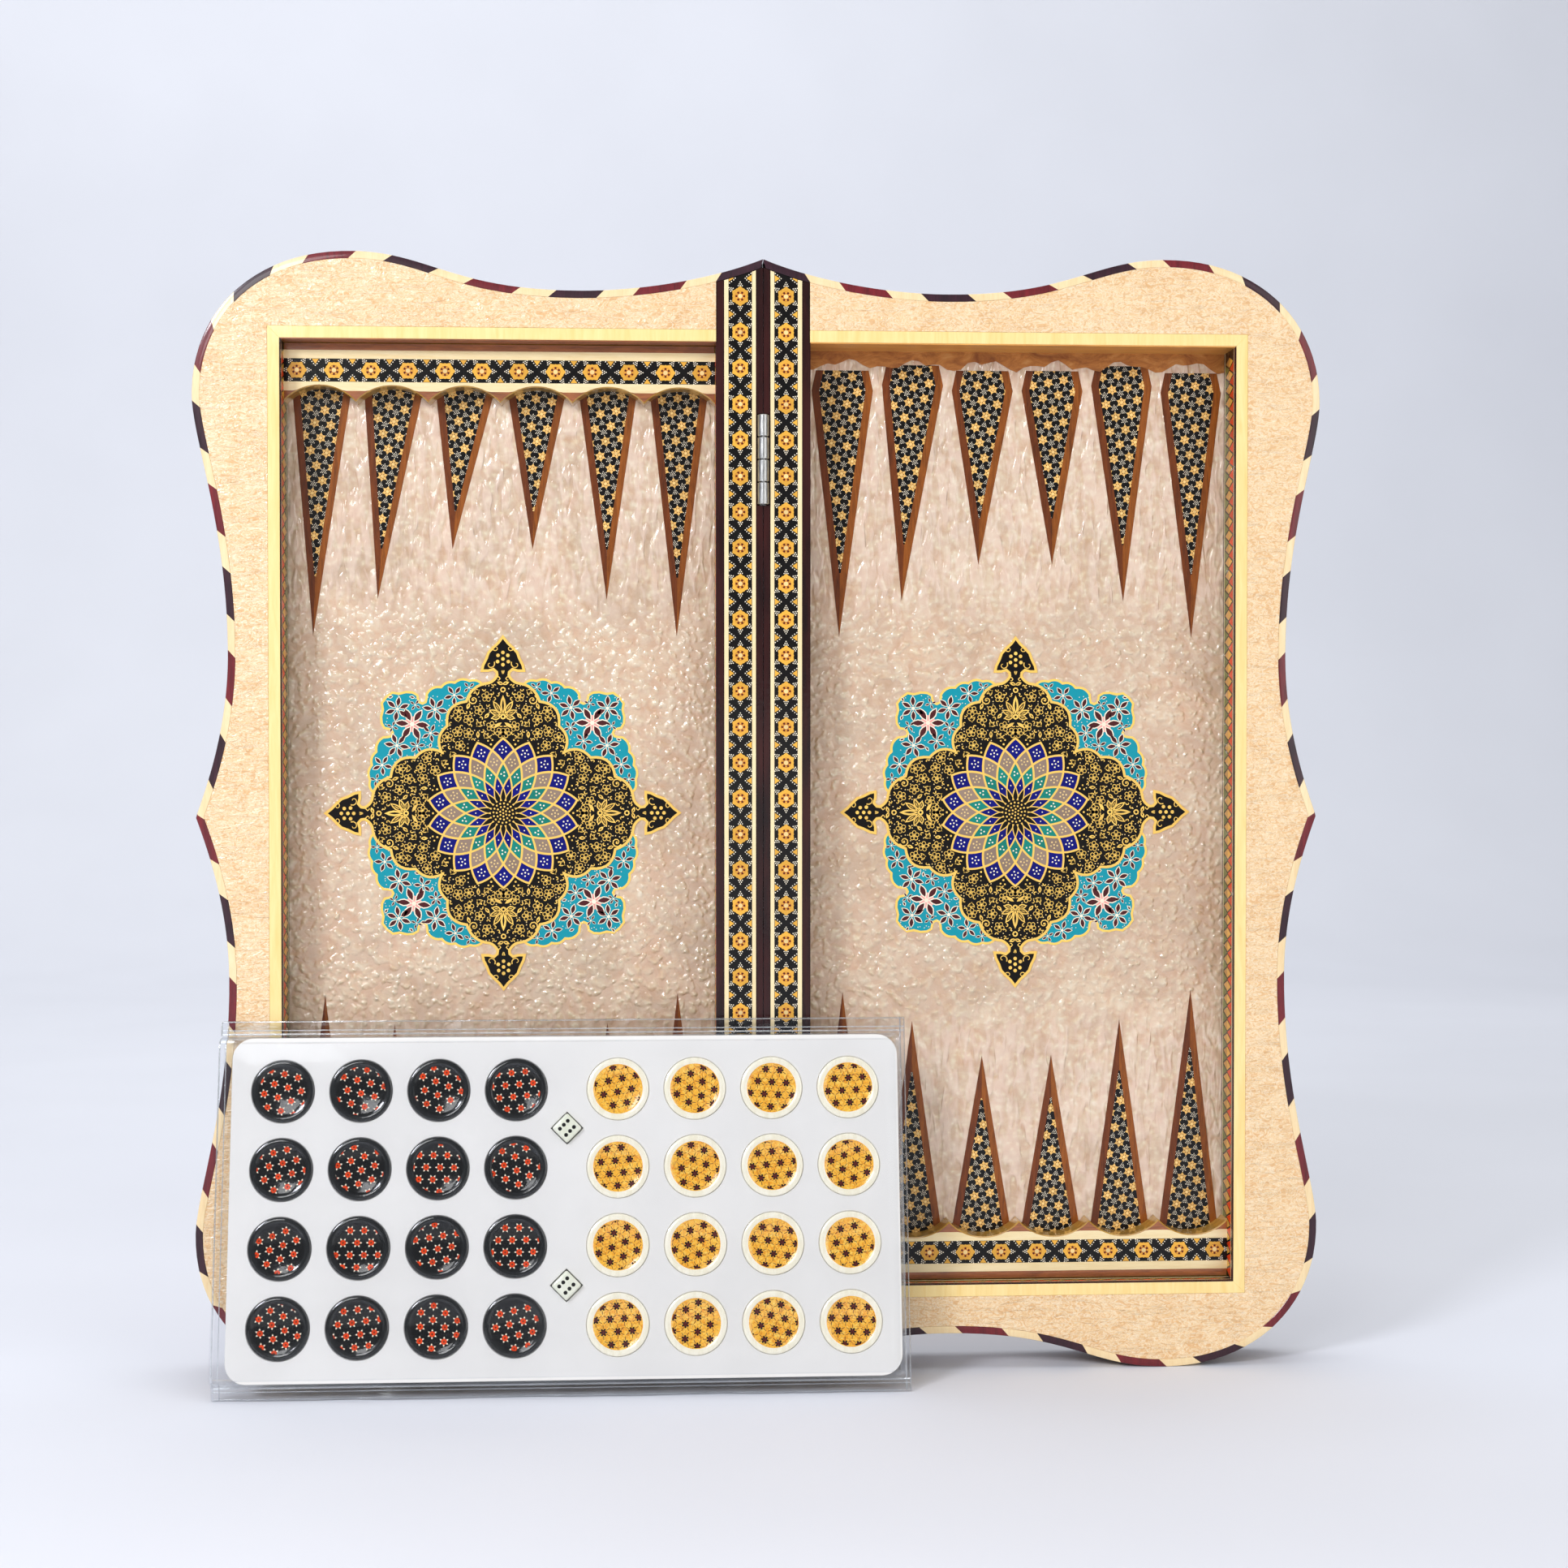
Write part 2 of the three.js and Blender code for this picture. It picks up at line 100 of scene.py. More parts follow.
# The outline of one half, as in the CAD: each curve's start, two handles and end.
HINGE_CORNER = (0.15, 246.5)
TOP_VALLEY = (82, 231.8)
TOP_CREST = (181, 248.2)
SIDE_CREST = (250, 185)
SIDE_VALLEY = (234.8, 72)
CUSP = (249, 0)
OUTLINE_CURVES = [
    (HINGE_CORNER, (20, 238.3), (52, 231.8), TOP_VALLEY),
    (TOP_VALLEY, (138, 231.8), (147, 248.2), TOP_CREST),
    (TOP_CREST, (222, 248.2), (250, 222), SIDE_CREST),
    (SIDE_CREST, (250, 166), (234.8, 128), SIDE_VALLEY),
    (SIDE_VALLEY, (234.8, 40), (244, 14), CUSP),
]
CURVE_STEPS = 22
BANDING_WIDTH, BANDING_DEPTH, BANDING_GAP = 3.3, 6, 0.3
EASE = 0.12  # the chamfer of the rim and of the border

# ---- Plane drawing ---------------------------------------------------------------------


def edges(outline):
    return zip(outline, outline[1:] + outline[:1])


def area(outline):
    return sum(x0 * z1 - x1 * z0 for (x0, z0), (x1, z1) in edges(outline)) / 2


def between(a, b, share):
    return tuple(p + (q - p) * share for p, q in zip(a, b))


def heading(a, b):
    """The unit step from a towards b."""
    dx, dz = b[0] - a[0], b[1] - a[1]
    size = math.hypot(dx, dz) or 1
    return dx / size, dz / size


def turns(count, start=0.0):
    """Angles in equal steps round a circle."""
    return [start + 2 * math.pi * i / count for i in range(count)]


def polar(x, z, radius, angle):
    return x + radius * math.cos(angle), z + radius * math.sin(angle)


def clock(radius, angle):
    """A point about the origin, with its angle measured from the top."""
    return radius * math.sin(angle), radius * math.cos(angle)


def spun(u, v, turn, x=0.0, z=0.0):
    """A point turned about the origin, and then moved by x and z."""
    cos, sin = math.cos(turn), math.sin(turn)
    return x + u * cos - v * sin, z + u * sin + v * cos


def dot(x, z, radius, sides=6, turn=0.0):
    return [polar(x, z, radius, a) for a in turns(sides, turn)]


def star(x, z, outer, inner, tips=6, turn=math.pi / 2):
    return [polar(x, z, inner if i % 2 else outer, a) for i, a in enumerate(turns(2 * tips, turn))]


def leaf(x, z, length, width, turn, steps=4):
    """A pointed lens with its middle at x, z."""
    shares = [i / steps for i in range(steps)]
    there = [(t, width / 2 * math.sin(math.pi * t)) for t in shares]
    back = [(1 - t, -width / 2 * math.sin(math.pi * (1 - t))) for t in shares]
    return [spun((t - 0.5) * length, out, turn, x, z) for t, out in there + back]


def spiral(x, z, radius, turn, hand, steps=11, rounds=1.35):
    """A scroll's line, from its outside inwards."""
    shares = [i / steps for i in range(steps + 1)]
    return [polar(x, z, radius * (1 - 0.82 * t), turn + hand * 2 * math.pi * rounds * t) for t in shares]


def lattice(pitch, rows, drift):
    """Places on a triangular lattice, as many rows of it each way as rows says."""
    for row in range(-rows, rows + 1):
        for column in range(-rows, rows + 1):
            yield (column + row / 2) * pitch + drift[0], row * pitch * 0.866 + drift[1]


def dot_rows(rows, row_gap, dot_gap):
    """The dots of a triangle: how far back from its tip, and how far across."""
    for row in range(rows):
        for k in range(row + 1):
            yield row * row_gap, (k - row / 2) * dot_gap


def bezier(a, b, c, d):
    """Points after a, up to and with d."""
    points = []
    for i in range(1, CURVE_STEPS + 1):
        t = i / CURVE_STEPS
        u = 1 - t
        weights = (u**3, 3 * u * u * t, 3 * u * t * t, t**3)
        points.append(tuple(sum(w * p[k] for w, p in zip(weights, (a, b, c, d))) for k in (0, 1)))
    return points


def scallops(nodes, bulge, steps=6):
    """Arcs from node to node, each standing out to the left by a share of its chord."""
    points = []
    for (x0, z0), (x1, z1) in zip(nodes, nodes[1:]):
        dx, dz = x1 - x0, z1 - z0
        for i in range(steps):
            t = i / steps
            out = 4 * bulge * t * (1 - t)
            points.append((x0 + dx * t - dz * out, z0 + dz * t + dx * out))
    return points + [nodes[-1]]


def offset(points, distance, closed=False):
    """Points moved to the right of their direction of travel, with mitred corners."""
    made = []
    for i, (x, z) in enumerate(points):
        before = points[:2] if i == 0 and not closed else (points[i - 1], points[i])
        last = i == len(points) - 1
        after = points[-2:] if last and not closed else (points[i], points[(i + 1) % len(points)])
        (ax, az), (bx, bz) = heading(*before), heading(*after)
        size = math.hypot(ax + bx, az + bz) or 1
        nx, nz = (az + bz) / size, -(ax + bx) / size
        reach = distance / max(0.5, nx * az - nz * ax)
        made.append((x + nx * reach, z + nz * reach))
    return made


def clipped(outline, planes):
    """What is left of an outline inside some half planes, each (nx, nz, distance)."""
    for nx, nz, limit in planes:
        kept = []
        for a, b in edges(outline):
            d0, d1 = nx * a[0] + nz * a[1] - limit, nx * b[0] + nz * b[1] - limit
            if d0 <= 0:
                kept.append(a)
            if (d0 < 0 < d1) or (d1 < 0 < d0):
                kept.append(between(a, b, d0 / (d0 - d1)))
        outline = kept
        if len(outline) < 3:
            return []
    return outline


def planes_of(outline):
    """The half planes whose common part is a convex outline."""
    if area(outline) < 0:
        outline = outline[::-1]
    planes = []
    for a, b in edges(outline):
        dx, dz = heading(a, b)
        planes.append((dz, -dx, dz * a[0] - dx * a[1]))
    return planes


def inside(x, z, outline):
    odd = False
    for (x0, z0), (x1, z1) in edges(outline):
        if (z0 > z) != (z1 > z) and x < x0 + (z - z0) / (z1 - z0) * (x1 - x0):
            odd = not odd
    return odd


OUTLINE = [HINGE_CORNER]
for curve in OUTLINE_CURVES:
    OUTLINE += bezier(*curve)
OUTLINE += [(x, -z) for x, z in OUTLINE[-2::-1]]


def inset_outline(distance):
    """The half's outline drawn in, with both ends kept on the hinge line."""
    points = offset(OUTLINE, distance)
    slope = (points[1][1] - points[0][1]) / (points[1][0] - points[0][0])
    top = points[0][1] + slope * (HINGE_CORNER[0] - points[0][0])
    points[0], points[-1] = (HINGE_CORNER[0], top), (HINGE_CORNER[0], -top)
    return points


def top_edge(outline, x):
    """How high the outline's top is at x, near the hinge line."""
    xs, zs = zip(*outline[: len(outline) // 4])
    return float(np.interp(x, xs, zs))


# ---- Solids ----------------------------------------------------------------------------


def ring_faces(low, high, count):
    """The faces between two rings of points, which start at low and at high."""
    return [[low + i, low + (i + 1) % count, high + (i + 1) % count, high + i] for i in range(count)]


def grid_faces(columns, rows):
    """The faces of a grid of points numbered row by row, and the points round its edge."""
    wide = columns + 1
    corners = [i * wide + j for i in range(rows) for j in range(columns)]
    faces = [[a, a + 1, a + wide + 1, a + wide] for a in corners]
    ring = list(range(wide)) + [i * wide + columns for i in range(1, rows + 1)]
    ring += [rows * wide + j for j in range(columns - 1, -1, -1)]
    ring += [i * wide for i in range(rows - 1, 0, -1)]
    return faces, ring


class Solid:
    """The faces of one piece, in millimetres, each with the name of its material."""

    def __init__(self):
        self.points = []
        self.faces = []
        self.finishes = []

    def add(self, points, faces, finish):
        """finish is one name, or a list of each face's own."""
        first = len(self.points)
        self.points.extend(points)
        self.faces.extend([first + i for i in face] for face in faces)
        self.finishes.extend([finish] * len(faces) if isinstance(finish, str) else finish)

    def loft(self, sections, finish, closed=False):
        """Closed cross sections joined in turn. finish is one name, or a list of each stretch's."""
        count = len(sections[0])
        spans = len(sections) if closed else len(sections) - 1
        names = [finish] * spans if isinstance(finish, str) else finish
        faces, finishes = [], []
        for k, name in enumerate(names):
            faces += ring_faces(k * count, (k + 1) % len(sections) * count, count)
            finishes += [name] * count
        if not closed:
            last = spans * count
            faces += [list(range(count))[::-1], [last + i for i in range(count)]]
            finishes += [names[0], names[-1]]
        self.add([p for section in sections for p in section], faces, finishes)

    def prism(self, outline, y0, y1, finish):
        """A flat plate with a front at y0 and a back at y1."""
        self.loft([[(x, y, z) for x, z in outline] for y in (y0, y1)], finish)

    def block(self, x0, x1, y0, y1, z0, z1, finish):
        self.prism([(x0, z0), (x1, z0), (x1, z1), (x0, z1)], y0, y1, finish)

    def plate(self, outer, holes, y0, y1, finish, edge=0.0, edge_finish=None):
        """A plate with holes whose front edges are eased by a small chamfer."""
        full = [outer if area(outer) > 0 else outer[::-1]]
        full += [hole if area(hole) < 0 else hole[::-1] for hole in holes]
        front = [offset(loop, -edge, closed=True) if edge else loop for loop in full]
        triangles = [list(t) for t in tessellate_polygon([[Vector((x, z, 0)) for x, z in f] for f in front])]
        rings = [(front, y0), (full, y0 + edge), (full, y1)] if edge else [(full, y0), (full, y1)]
        points = [(x, y, z) for loops, y in rings for loop in loops for x, z in loop]
        count = len(points) // len(rings)
        back = count * (len(rings) - 1)
        flats = triangles + [[back + i for i in reversed(t)] for t in triangles]
        walls, start = [], 0
        for loop in full:
            for low in range(start, back, count):
                walls += [face[::-1] for face in ring_faces(low, low + count, len(loop))]
            start += len(loop)
        names = [finish] * len(flats) + [edge_finish or finish] * len(walls)
        self.add(points, flats + walls, names)

    def ribbon(self, points, width, y0, y1, finish, closed=False, taper=0.0):
        """A flat line along points in x and z. taper narrows it towards its far end."""
        if closed and area(points) > 0:
            points = points[::-1]
        left, right = (offset(points, way * width / 2, closed) for way in (-1, 1))
        sections = []
        for i, (a, b) in enumerate(zip(left, right)):
            shrink = taper * i / (len(points) - 1) / 2
            (ax, az), (bx, bz) = between(a, b, shrink), between(b, a, shrink)
            sections.append([(ax, y0, az), (bx, y0, bz), (bx, y1, bz), (ax, y1, az)])
        self.loft(sections, finish, closed)

    def lathe(self, profile, steps, x, z, finishes):
        """A profile of (radius, y) turned about a line along y. Both its ends are at radius 0."""
        points = [(x, profile[0][1], z)]
        for radius, y in profile[1:-1]:
            points += [(px, y, pz) for px, pz in dot(x, z, radius, steps)]
        last = len(points) - steps
        points.append((x, profile[-1][1], z))
        faces = []
        for i in range(steps):
            j = (i + 1) % steps
            faces.append([0, 1 + j, 1 + i])
            faces += [[low + i, low + j, low + steps + j, low + steps + i] for low in range(1, last, steps)]
            faces.append([last + i, last + j, last + steps])
        self.add(points, faces, finishes * steps)

    def mirrored(self):
        self.points = [(-x, y, z) for x, y, z in self.points]
        self.faces = [face[::-1] for face in self.faces]
        return self


FINISHES = {}
SHARP = math.radians(32)


def make(name, solid, body, at=BOARD, stands_for=(), sharp=SHARP):
    """One Blender piece from a solid, riding on its body."""
    mesh = bpy.data.meshes.new(name)
    points = np.array(solid.points, float) @ np.array(at.to_3x3()).T + np.array(at.translation)
    mesh.from_pydata(points.tolist(), [], solid.faces)
    names = sorted(set(solid.finishes))
    for finish in names:
        mesh.materials.append(FINISHES[finish])
    order = {finish: i for i, finish in enumerate(names)}
    mesh.polygons.foreach_set("material_index", [order[finish] for finish in solid.finishes])
    bm = bmesh.new()
    bm.from_mesh(mesh)
    bmesh.ops.recalc_face_normals(bm, faces=bm.faces)
    bm.to_mesh(mesh)
    bm.free()
    mesh.polygons.foreach_set("use_smooth", [True] * len(mesh.polygons))
    mesh.set_sharp_from_angle(angle=sharp)
    mesh.update()
    piece = bpy.data.objects.new(name, mesh)
    bpy.context.scene.collection.objects.link(piece)
    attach(piece, body)
    if stands_for:
        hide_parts(*stands_for)


# ---- Materials -------------------------------------------------------------------------


def colour(red, green, blue):
    """An sRGB colour of 0 to 255 as Blender's linear one."""
    shares = [value / 255 for value in (red, green, blue)]
    return tuple(v / 12.92 if v <= 0.04045 else ((v + 0.055) / 1.055) ** 2.4 for v in shares) + (1.0,)


class Shader:
    """A material's nodes, with sizes in millimetres, and colours in sRGB of 0 to 255."""

    def __init__(self, name, coat=0.0, gloss=0.5, metallic=0.0):
        self.material = bpy.data.materials.new(name)
        self.material.use_nodes = True
        self.tree = self.material.node_tree
        self.surface = self.tree.nodes["Principled BSDF"]
        self.set("Coat Weight", coat)
        self.set("Coat Roughness", 0.06)
        self.set("Specular IOR Level", gloss)
        self.set("Metallic", metallic)
        FINISHES[name] = self.material

    def feed(self, socket, value):
        if isinstance(value, bpy.types.NodeSocket):
            self.tree.links.new(value, socket)
        elif socket.type == "RGBA" and len(value) == 3:
            socket.default_value = colour(*value)
        else:
            socket.default_value = value

    def set(self, name, value):
        self.feed(self.surface.inputs[name], value)

    def paint(self, base, roughness, normal=None, coat_normal=None):
        self.set("Base Color", base)
        self.set("Roughness", roughness)
        if normal is not None:
            self.set("Normal", normal)
        if coat_normal is not None:
            self.set("Coat Normal", coat_normal)

    def add(self, kind, inputs, **settings):
        node = self.tree.nodes.new(kind)
        for name, value in settings.items():
            setattr(node, name, value)
        for name, value in inputs.items():
            self.feed(node.inputs[name], value)
        return node

    def place(self, stretch=(1, 1, 1)):
        """Object coordinates in millimetres, drawn out along each axis by stretch."""
        where = self.add("ShaderNodeTexCoord", {}).outputs["Object"]
        scale = tuple(1 / (MM * s) for s in stretch)
        return self.add("ShaderNodeMapping", {"Vector": where, "Scale": scale}).outputs["Vector"]

    def noise(self, size, detail=3.0, stretch=(1, 1, 1), rough=0.55, bend=0.0):
        inputs = {"Vector": self.place(stretch), "Scale": 1 / size, "Detail": detail}
        inputs.update({"Roughness": rough, "Distortion": bend})
        return self.add("ShaderNodeTexNoise", inputs).outputs["Fac"]

    def cells(self, size, feature, where):
        inputs = {"Vector": where, "Scale": 1 / size}
        return self.add("ShaderNodeTexVoronoi", inputs, feature=feature).outputs["Distance"]

    def ramp(self, factor, *stops):
        """Each stop is a place, and a colour or a grey of 0 to 1."""
        node = self.add("ShaderNodeValToRGB", {"Fac": factor})
        elements = node.color_ramp.elements
        while len(elements) < len(stops):
            elements.new(1)
        for element, (position, tint) in zip(elements, stops):
            element.position = position
            element.color = colour(*tint) if isinstance(tint, tuple) else (tint, tint, tint, 1)
        return node.outputs["Color"]

    def span(self, factor, low, high, start=0.0, end=1.0):
        inputs = {"Value": factor, "From Min": start, "From Max": end, "To Min": low, "To Max": high}
        return self.add("ShaderNodeMapRange", inputs).outputs["Result"]

    def mix(self, factor, a, b, way="MIX"):
        inputs = {0: factor, 6: a, 7: b}
        return self.add("ShaderNodeMix", inputs, data_type="RGBA", blend_type=way).outputs[2]

    def math(self, operation, a, b=0.0):
        return self.add("ShaderNodeMath", {0: a, 1: b}, operation=operation).outputs["Value"]

    def blend(self, a, b, share):
        """share of b, and the rest of a."""
        return self.math("ADD", self.math("MULTIPLY", a, 1 - share), self.math("MULTIPLY", b, share))

    def bump(self, height, depth, strength=1.0, under=None):
        """A normal from a height of 0 to 1 that stands for a depth in millimetres."""
        inputs = {"Height": height, "Distance": depth * MM, "Strength": strength}
        if under is not None:
            inputs["Normal"] = under
        return self.add("ShaderNodeBump", inputs).outputs["Normal"]


WHITE = (255, 255, 255)


def wood(name, light, dark, grain, size=1.4, roughness=0.35, coat=0.4, figure=0.5, gloss=0.5):
    """Lacquered wood whose grain is drawn out along the long side of grain."""
    shader = Shader(name, coat, gloss)
    fibres = shader.noise(size, 6, grain, 0.65, 0.6)
    bands = shader.noise(size * 5, 2, grain, bend=1.2)
    base = shader.ramp(shader.blend(fibres, bands, figure), (0.33, dark), (0.66, light))
    worn = shader.span(fibres, roughness - 0.08, roughness + 0.1)
    shader.paint(base, worn, shader.bump(fibres, 0.05, 0.35))


SHADES = 3
shade_draws = random.Random(11)


def enamel(name, tint, spread=0.1, roughness=0.3, coat=0.15, gloss=0.3):
    """Small inlaid or painted spots of one colour, in a few near shades."""
    for k in range(SHADES):
        lift = 1 + spread * (2 * k / (SHADES - 1) - 1)
        shader = Shader(f"{name}.{k}", coat, gloss)
        base = tuple(min(1, c * lift) for c in colour(*tint)[:3]) + (1,)
        speck = shader.span(shader.noise(0.35, 2), roughness - 0.1, roughness + 0.15)
        shader.paint(base, speck, shader.bump(shader.noise(0.9, 2), 0.03, 0.5))


def shade(name):
    """One of an enamel's shades, unless the name already says which."""
    return name if "." in name else f"{name}.{shade_draws.randrange(SHADES)}"


def veneer():
    """Pale burl under thick lacquer."""
    shader = Shader("veneer", coat=0.85)
    warp = shader.noise(26, 4, bend=2.5)
    curls = shader.noise(3.4, 5, rough=0.6, bend=3.2)
    pores = shader.noise(0.8, 3, (2.4, 1, 1), 0.7)
    clouds = [(0.32, (224, 174, 116)), (0.45, (238, 198, 144)), (0.6, (246, 213, 164))]
    base = shader.ramp(shader.blend(warp, curls, 0.6), *clouds, (0.74, (237, 192, 135)))
    specks = shader.ramp(pores, (0.36, (205, 150, 100)), (0.46, WHITE))
    base = shader.mix(0.14, base, specks, "MULTIPLY")
    worms = shader.noise(2.6, 1.5, (1.7, 1, 1), 0.5, 2.4)
    pale = shader.ramp(worms, (0.46, 0), (0.52, 0.6), (0.58, 0))
    tan = shader.ramp(worms, (0.36, 0.5), (0.42, 0))
    base = shader.mix(tan, shader.mix(pale, base, (255, 240, 212)), (226, 168, 106))
    ripple = shader.bump(shader.noise(3.2, 3, (3.5, 1, 1), 0.6, 1.8), 1.0)
    fine = shader.bump(pores, 0.06, 0.8, under=ripple)
    shader.paint(base, shader.span(curls, 0.22, 0.42), fine, ripple)


def warped(shader, reach):
    """Object coordinates pushed about by a soft noise, so that cells lose their rows."""
    where = shader.place()
    push = shader.add("ShaderNodeTexNoise", {"Vector": where, "Scale": 0.16, "Detail": 2.0}).outputs["Color"]
    scaled = shader.add("ShaderNodeVectorMath", {0: push, "Scale": reach}, operation="SCALE").outputs[0]
    return shader.add("ShaderNodeVectorMath", {0: where, 1: scaled}, operation="ADD").outputs[0]


POINTS_NEAR, POINTS_FAR = 82, 104  # the field's relief changes between these heights


def field():
    """Beige paint under pebbled lacquer, drawn up in cords between the points, with painted light and shade
    on its bubbles and a painted highlight on the cords.
    """
    shader = Shader("field", coat=1.0)
    shader.set("Coat Roughness", 0.05)
    cloud = shader.noise(48, 4, bend=1.5)
    streaks = shader.noise(6, 4, (1.6, 1, 1), bend=1.6)
    blush = shader.noise(15, 5, rough=0.6, bend=2)
    base = shader.ramp(cloud, (0.3, (206, 187, 162)), (0.5, (217, 196, 171)), (0.7, (226, 206, 181)))
    warm = shader.ramp(blush, (0.42, WHITE), (0.72, (240, 208, 176)))
    base = shader.mix(0.5, base, warm, "MULTIPLY")
    drawn = shader.ramp(streaks, (0.35, (226, 204, 184)), (0.6, WHITE))
    base = shader.mix(0.25, base, drawn, "MULTIPLY")
    bubbles = shader.cells(2.9, "SMOOTH_F1", warped(shader, 4.4))
    # The bubbles' light middles and darker rims are painted light and shade, laid over the colour.
    painted_dome_shading = shader.ramp(bubbles, (0.08, (255, 250, 242)), (0.32, (196, 186, 172)), (0.55, (150, 136, 120)))
    base = shader.mix(0.28, base, painted_dome_shading, "OVERLAY")
    domes = shader.ramp(bubbles, (0.0, 1), (0.55, 0))
    height = shader.add("ShaderNodeSeparateXYZ", {"Vector": shader.place()}).outputs["Z"]
    from_middle = shader.math("ABSOLUTE", shader.math("SUBTRACT", height, BOARD_ORIGIN.z / MM))
    by_points = shader.span(from_middle, 0, 1, POINTS_NEAR, POINTS_FAR)
    cords = shader.noise(3.0, 0.6, (1, 1, 3.2), bend=0.7)
    # Between the points the cords get a whitish tone: a painted highlight of their gloss.
    cord_highlight_mask = shader.ramp(cords, (0.4, 0), (0.62, 1))
    painted_cord_highlight = shader.math("MULTIPLY", shader.math("MULTIPLY", by_points, cord_highlight_mask), 0.34)
    base = shader.mix(painted_cord_highlight, base, (250, 226, 210))
    relief = shader.mix(by_points, domes, shader.ramp(cords, (0.34, 0.1), (0.64, 0.7)))
    raised = shader.bump(relief, 0.75)
    normal = shader.bump(streaks, 0.15, 0.5, under=raised)
    shader.paint(base, shader.span(blush, 0.22, 0.4), normal, raised)


def lacquer(name, light, dark, size=8.0, roughness=0.2, coat=1.0, gloss=0.5):
    """Dark polished wood with a slow drift of colour and faint orange peel."""
    shader = Shader(name, coat, gloss)
    drift = shader.noise(size, 5, (1, 1, 6), 0.6)
    base = shader.ramp(drift, (0.35, dark), (0.65, light))
    peel = shader.bump(shader.noise(2.2, 2), 0.06, 0.5)
    shader.paint(base, shader.span(drift, roughness, roughness + 0.15), peel, peel)


def steel():
    shader = Shader("steel", metallic=1.0)
    brushed = shader.noise(0.5, 4, (1, 1, 9), 0.7)
    base = shader.ramp(brushed, (0.3, (150, 150, 150)), (0.7, (212, 212, 210)))
    shader.paint(base, shader.span(brushed, 0.2, 0.42), shader.bump(brushed, 0.03, 0.5))


def clear_film(name, least, most, haze_tint, roughness):
    """Clear soft film: open, with a mirror gloss that grows towards its edges."""
    shader = Shader(name, metallic=1.0)
    haze = shader.noise(14, bend=1.0)
    wrinkle = shader.bump(shader.noise(9, 3, (3, 1, 1), bend=1.4), 0.5, 0.3)
    shader.paint(haze_tint, shader.span(haze, roughness, roughness + 0.14), wrinkle)
    edge = shader.add("ShaderNodeFresnel", {"IOR": 1.22, "Normal": wrinkle}).outputs["Fac"]
    share = shader.math("MINIMUM", shader.math("ADD", edge, least), most)
    clear = shader.add("ShaderNodeBsdfTransparent", {"Color": (0.972, 0.975, 0.98, 1)})
    layers = {0: share, 1: clear.outputs[0], 2: shader.surface.outputs[0]}
    mixed = shader.add("ShaderNodeMixShader", layers)
    shader.tree.links.new(mixed.outputs[0], shader.tree.nodes["Material Output"].inputs["Surface"])


def foam():
    shader = Shader("foam")
    grain = shader.noise(0.5)
    base = shader.ramp(shader.noise(40, 2), (0.3, (228, 225, 220)), (0.7, (234, 231, 226)))
    shader.paint(base, shader.span(grain, 0.55, 0.75), shader.bump(grain, 0.05, 0.4))


def amber():
    """The light checkers' discs: honey wood with dark specks and fine joints."""
    shader = Shader("amber", coat=1.0)
    body = shader.noise(2.2, 5, rough=0.7, bend=1.5)
    joints = shader.cells(2.9, "DISTANCE_TO_EDGE", shader.place())
    base = shader.ramp(body, (0.3, (242, 148, 14)), (0.5, (255, 188, 44)), (0.7, (255, 222, 104)))
    lines = shader.ramp(joints, (0.01, (170, 104, 40)), (0.045, WHITE))
    shader.paint(shader.mix(0.5, base, lines, "MULTIPLY"), shader.span(body, 0.15, 0.3))


def glue():
    """Bare brown wood and old glue."""
    shader = Shader("glue")
    blot = shader.noise(7, 5, (2, 1, 1), 0.7, 1.5)
    base = shader.ramp(blot, (0.3, (136, 72, 22)), (0.55, (190, 122, 54)), (0.75, (214, 160, 92)))
    shader.paint(base, shader.span(blot, 0.4, 0.75), shader.bump(blot, 0.4, 0.6))


ALONG_X, ALONG_Z, ALONG_SIDE = (9, 1, 1), (1, 1, 9), (6, 1, 6)


def single_materials():
    veneer()
    field()
    steel()
    clear_film("vinyl", 0.0, 0.36, (238, 242, 246), 0.06)
    clear_film("film_edge", 0.42, 0.75, (250, 252, 255), 0.1)
    foam()
    amber()
    glue()


def woods():
    wood("band_cream", (250, 226, 178), (240, 206, 150), ALONG_Z, 0.7, coat=0.8)
    wood("band_maroon", (128, 28, 38), (80, 16, 24), ALONG_Z, 0.7, coat=0.45, gloss=0.3)
    wood("band_dark", (62, 26, 40), (34, 15, 24), ALONG_Z, 0.7, coat=0.35, gloss=0.3)
    wood("border", (255, 228, 158), (248, 212, 132), ALONG_Z, 0.9, coat=0.5, figure=0.7)
    wood("cream_strip", (250, 230, 182), (238, 210, 150), ALONG_X, 0.9, coat=0.7)
    wood("cream_rail", (250, 230, 182), (240, 214, 158), ALONG_Z, 0.9, coat=0.7)
    wood("walnut", (160, 88, 26), (104, 52, 12), ALONG_Z, 0.6, coat=0.3, gloss=0.2)
    # A darker copy of the walnut for the points' left strips: painted shade.
    wood("walnut_dark", (124, 60, 18), (78, 34, 8), ALONG_Z, 0.6, coat=0.3, gloss=0.2)
    wood("ledge", (176, 100, 46), (112, 56, 22), ALONG_X, 0.6, coat=0.8)
    # A lighter ochre for the right half's bare top wall, which faces down: painted bounce light.
    wood("ochre", (240, 178, 92), (206, 136, 56), ALONG_X, 1.2, coat=0.5)
    wood("arch_edge", (206, 160, 66), (150, 104, 36), ALONG_X, 0.6, coat=0.9)
    wood("side", (120, 66, 34), (74, 38, 20), ALONG_SIDE, 1.0, coat=0.7)
    wood("back", (150, 92, 50), (98, 54, 28), ALONG_Z, 1.6, roughness=0.4, coat=0.5)
    wood("core", (196, 150, 96), (160, 112, 64), ALONG_Z, 1.0, coat=0.1)


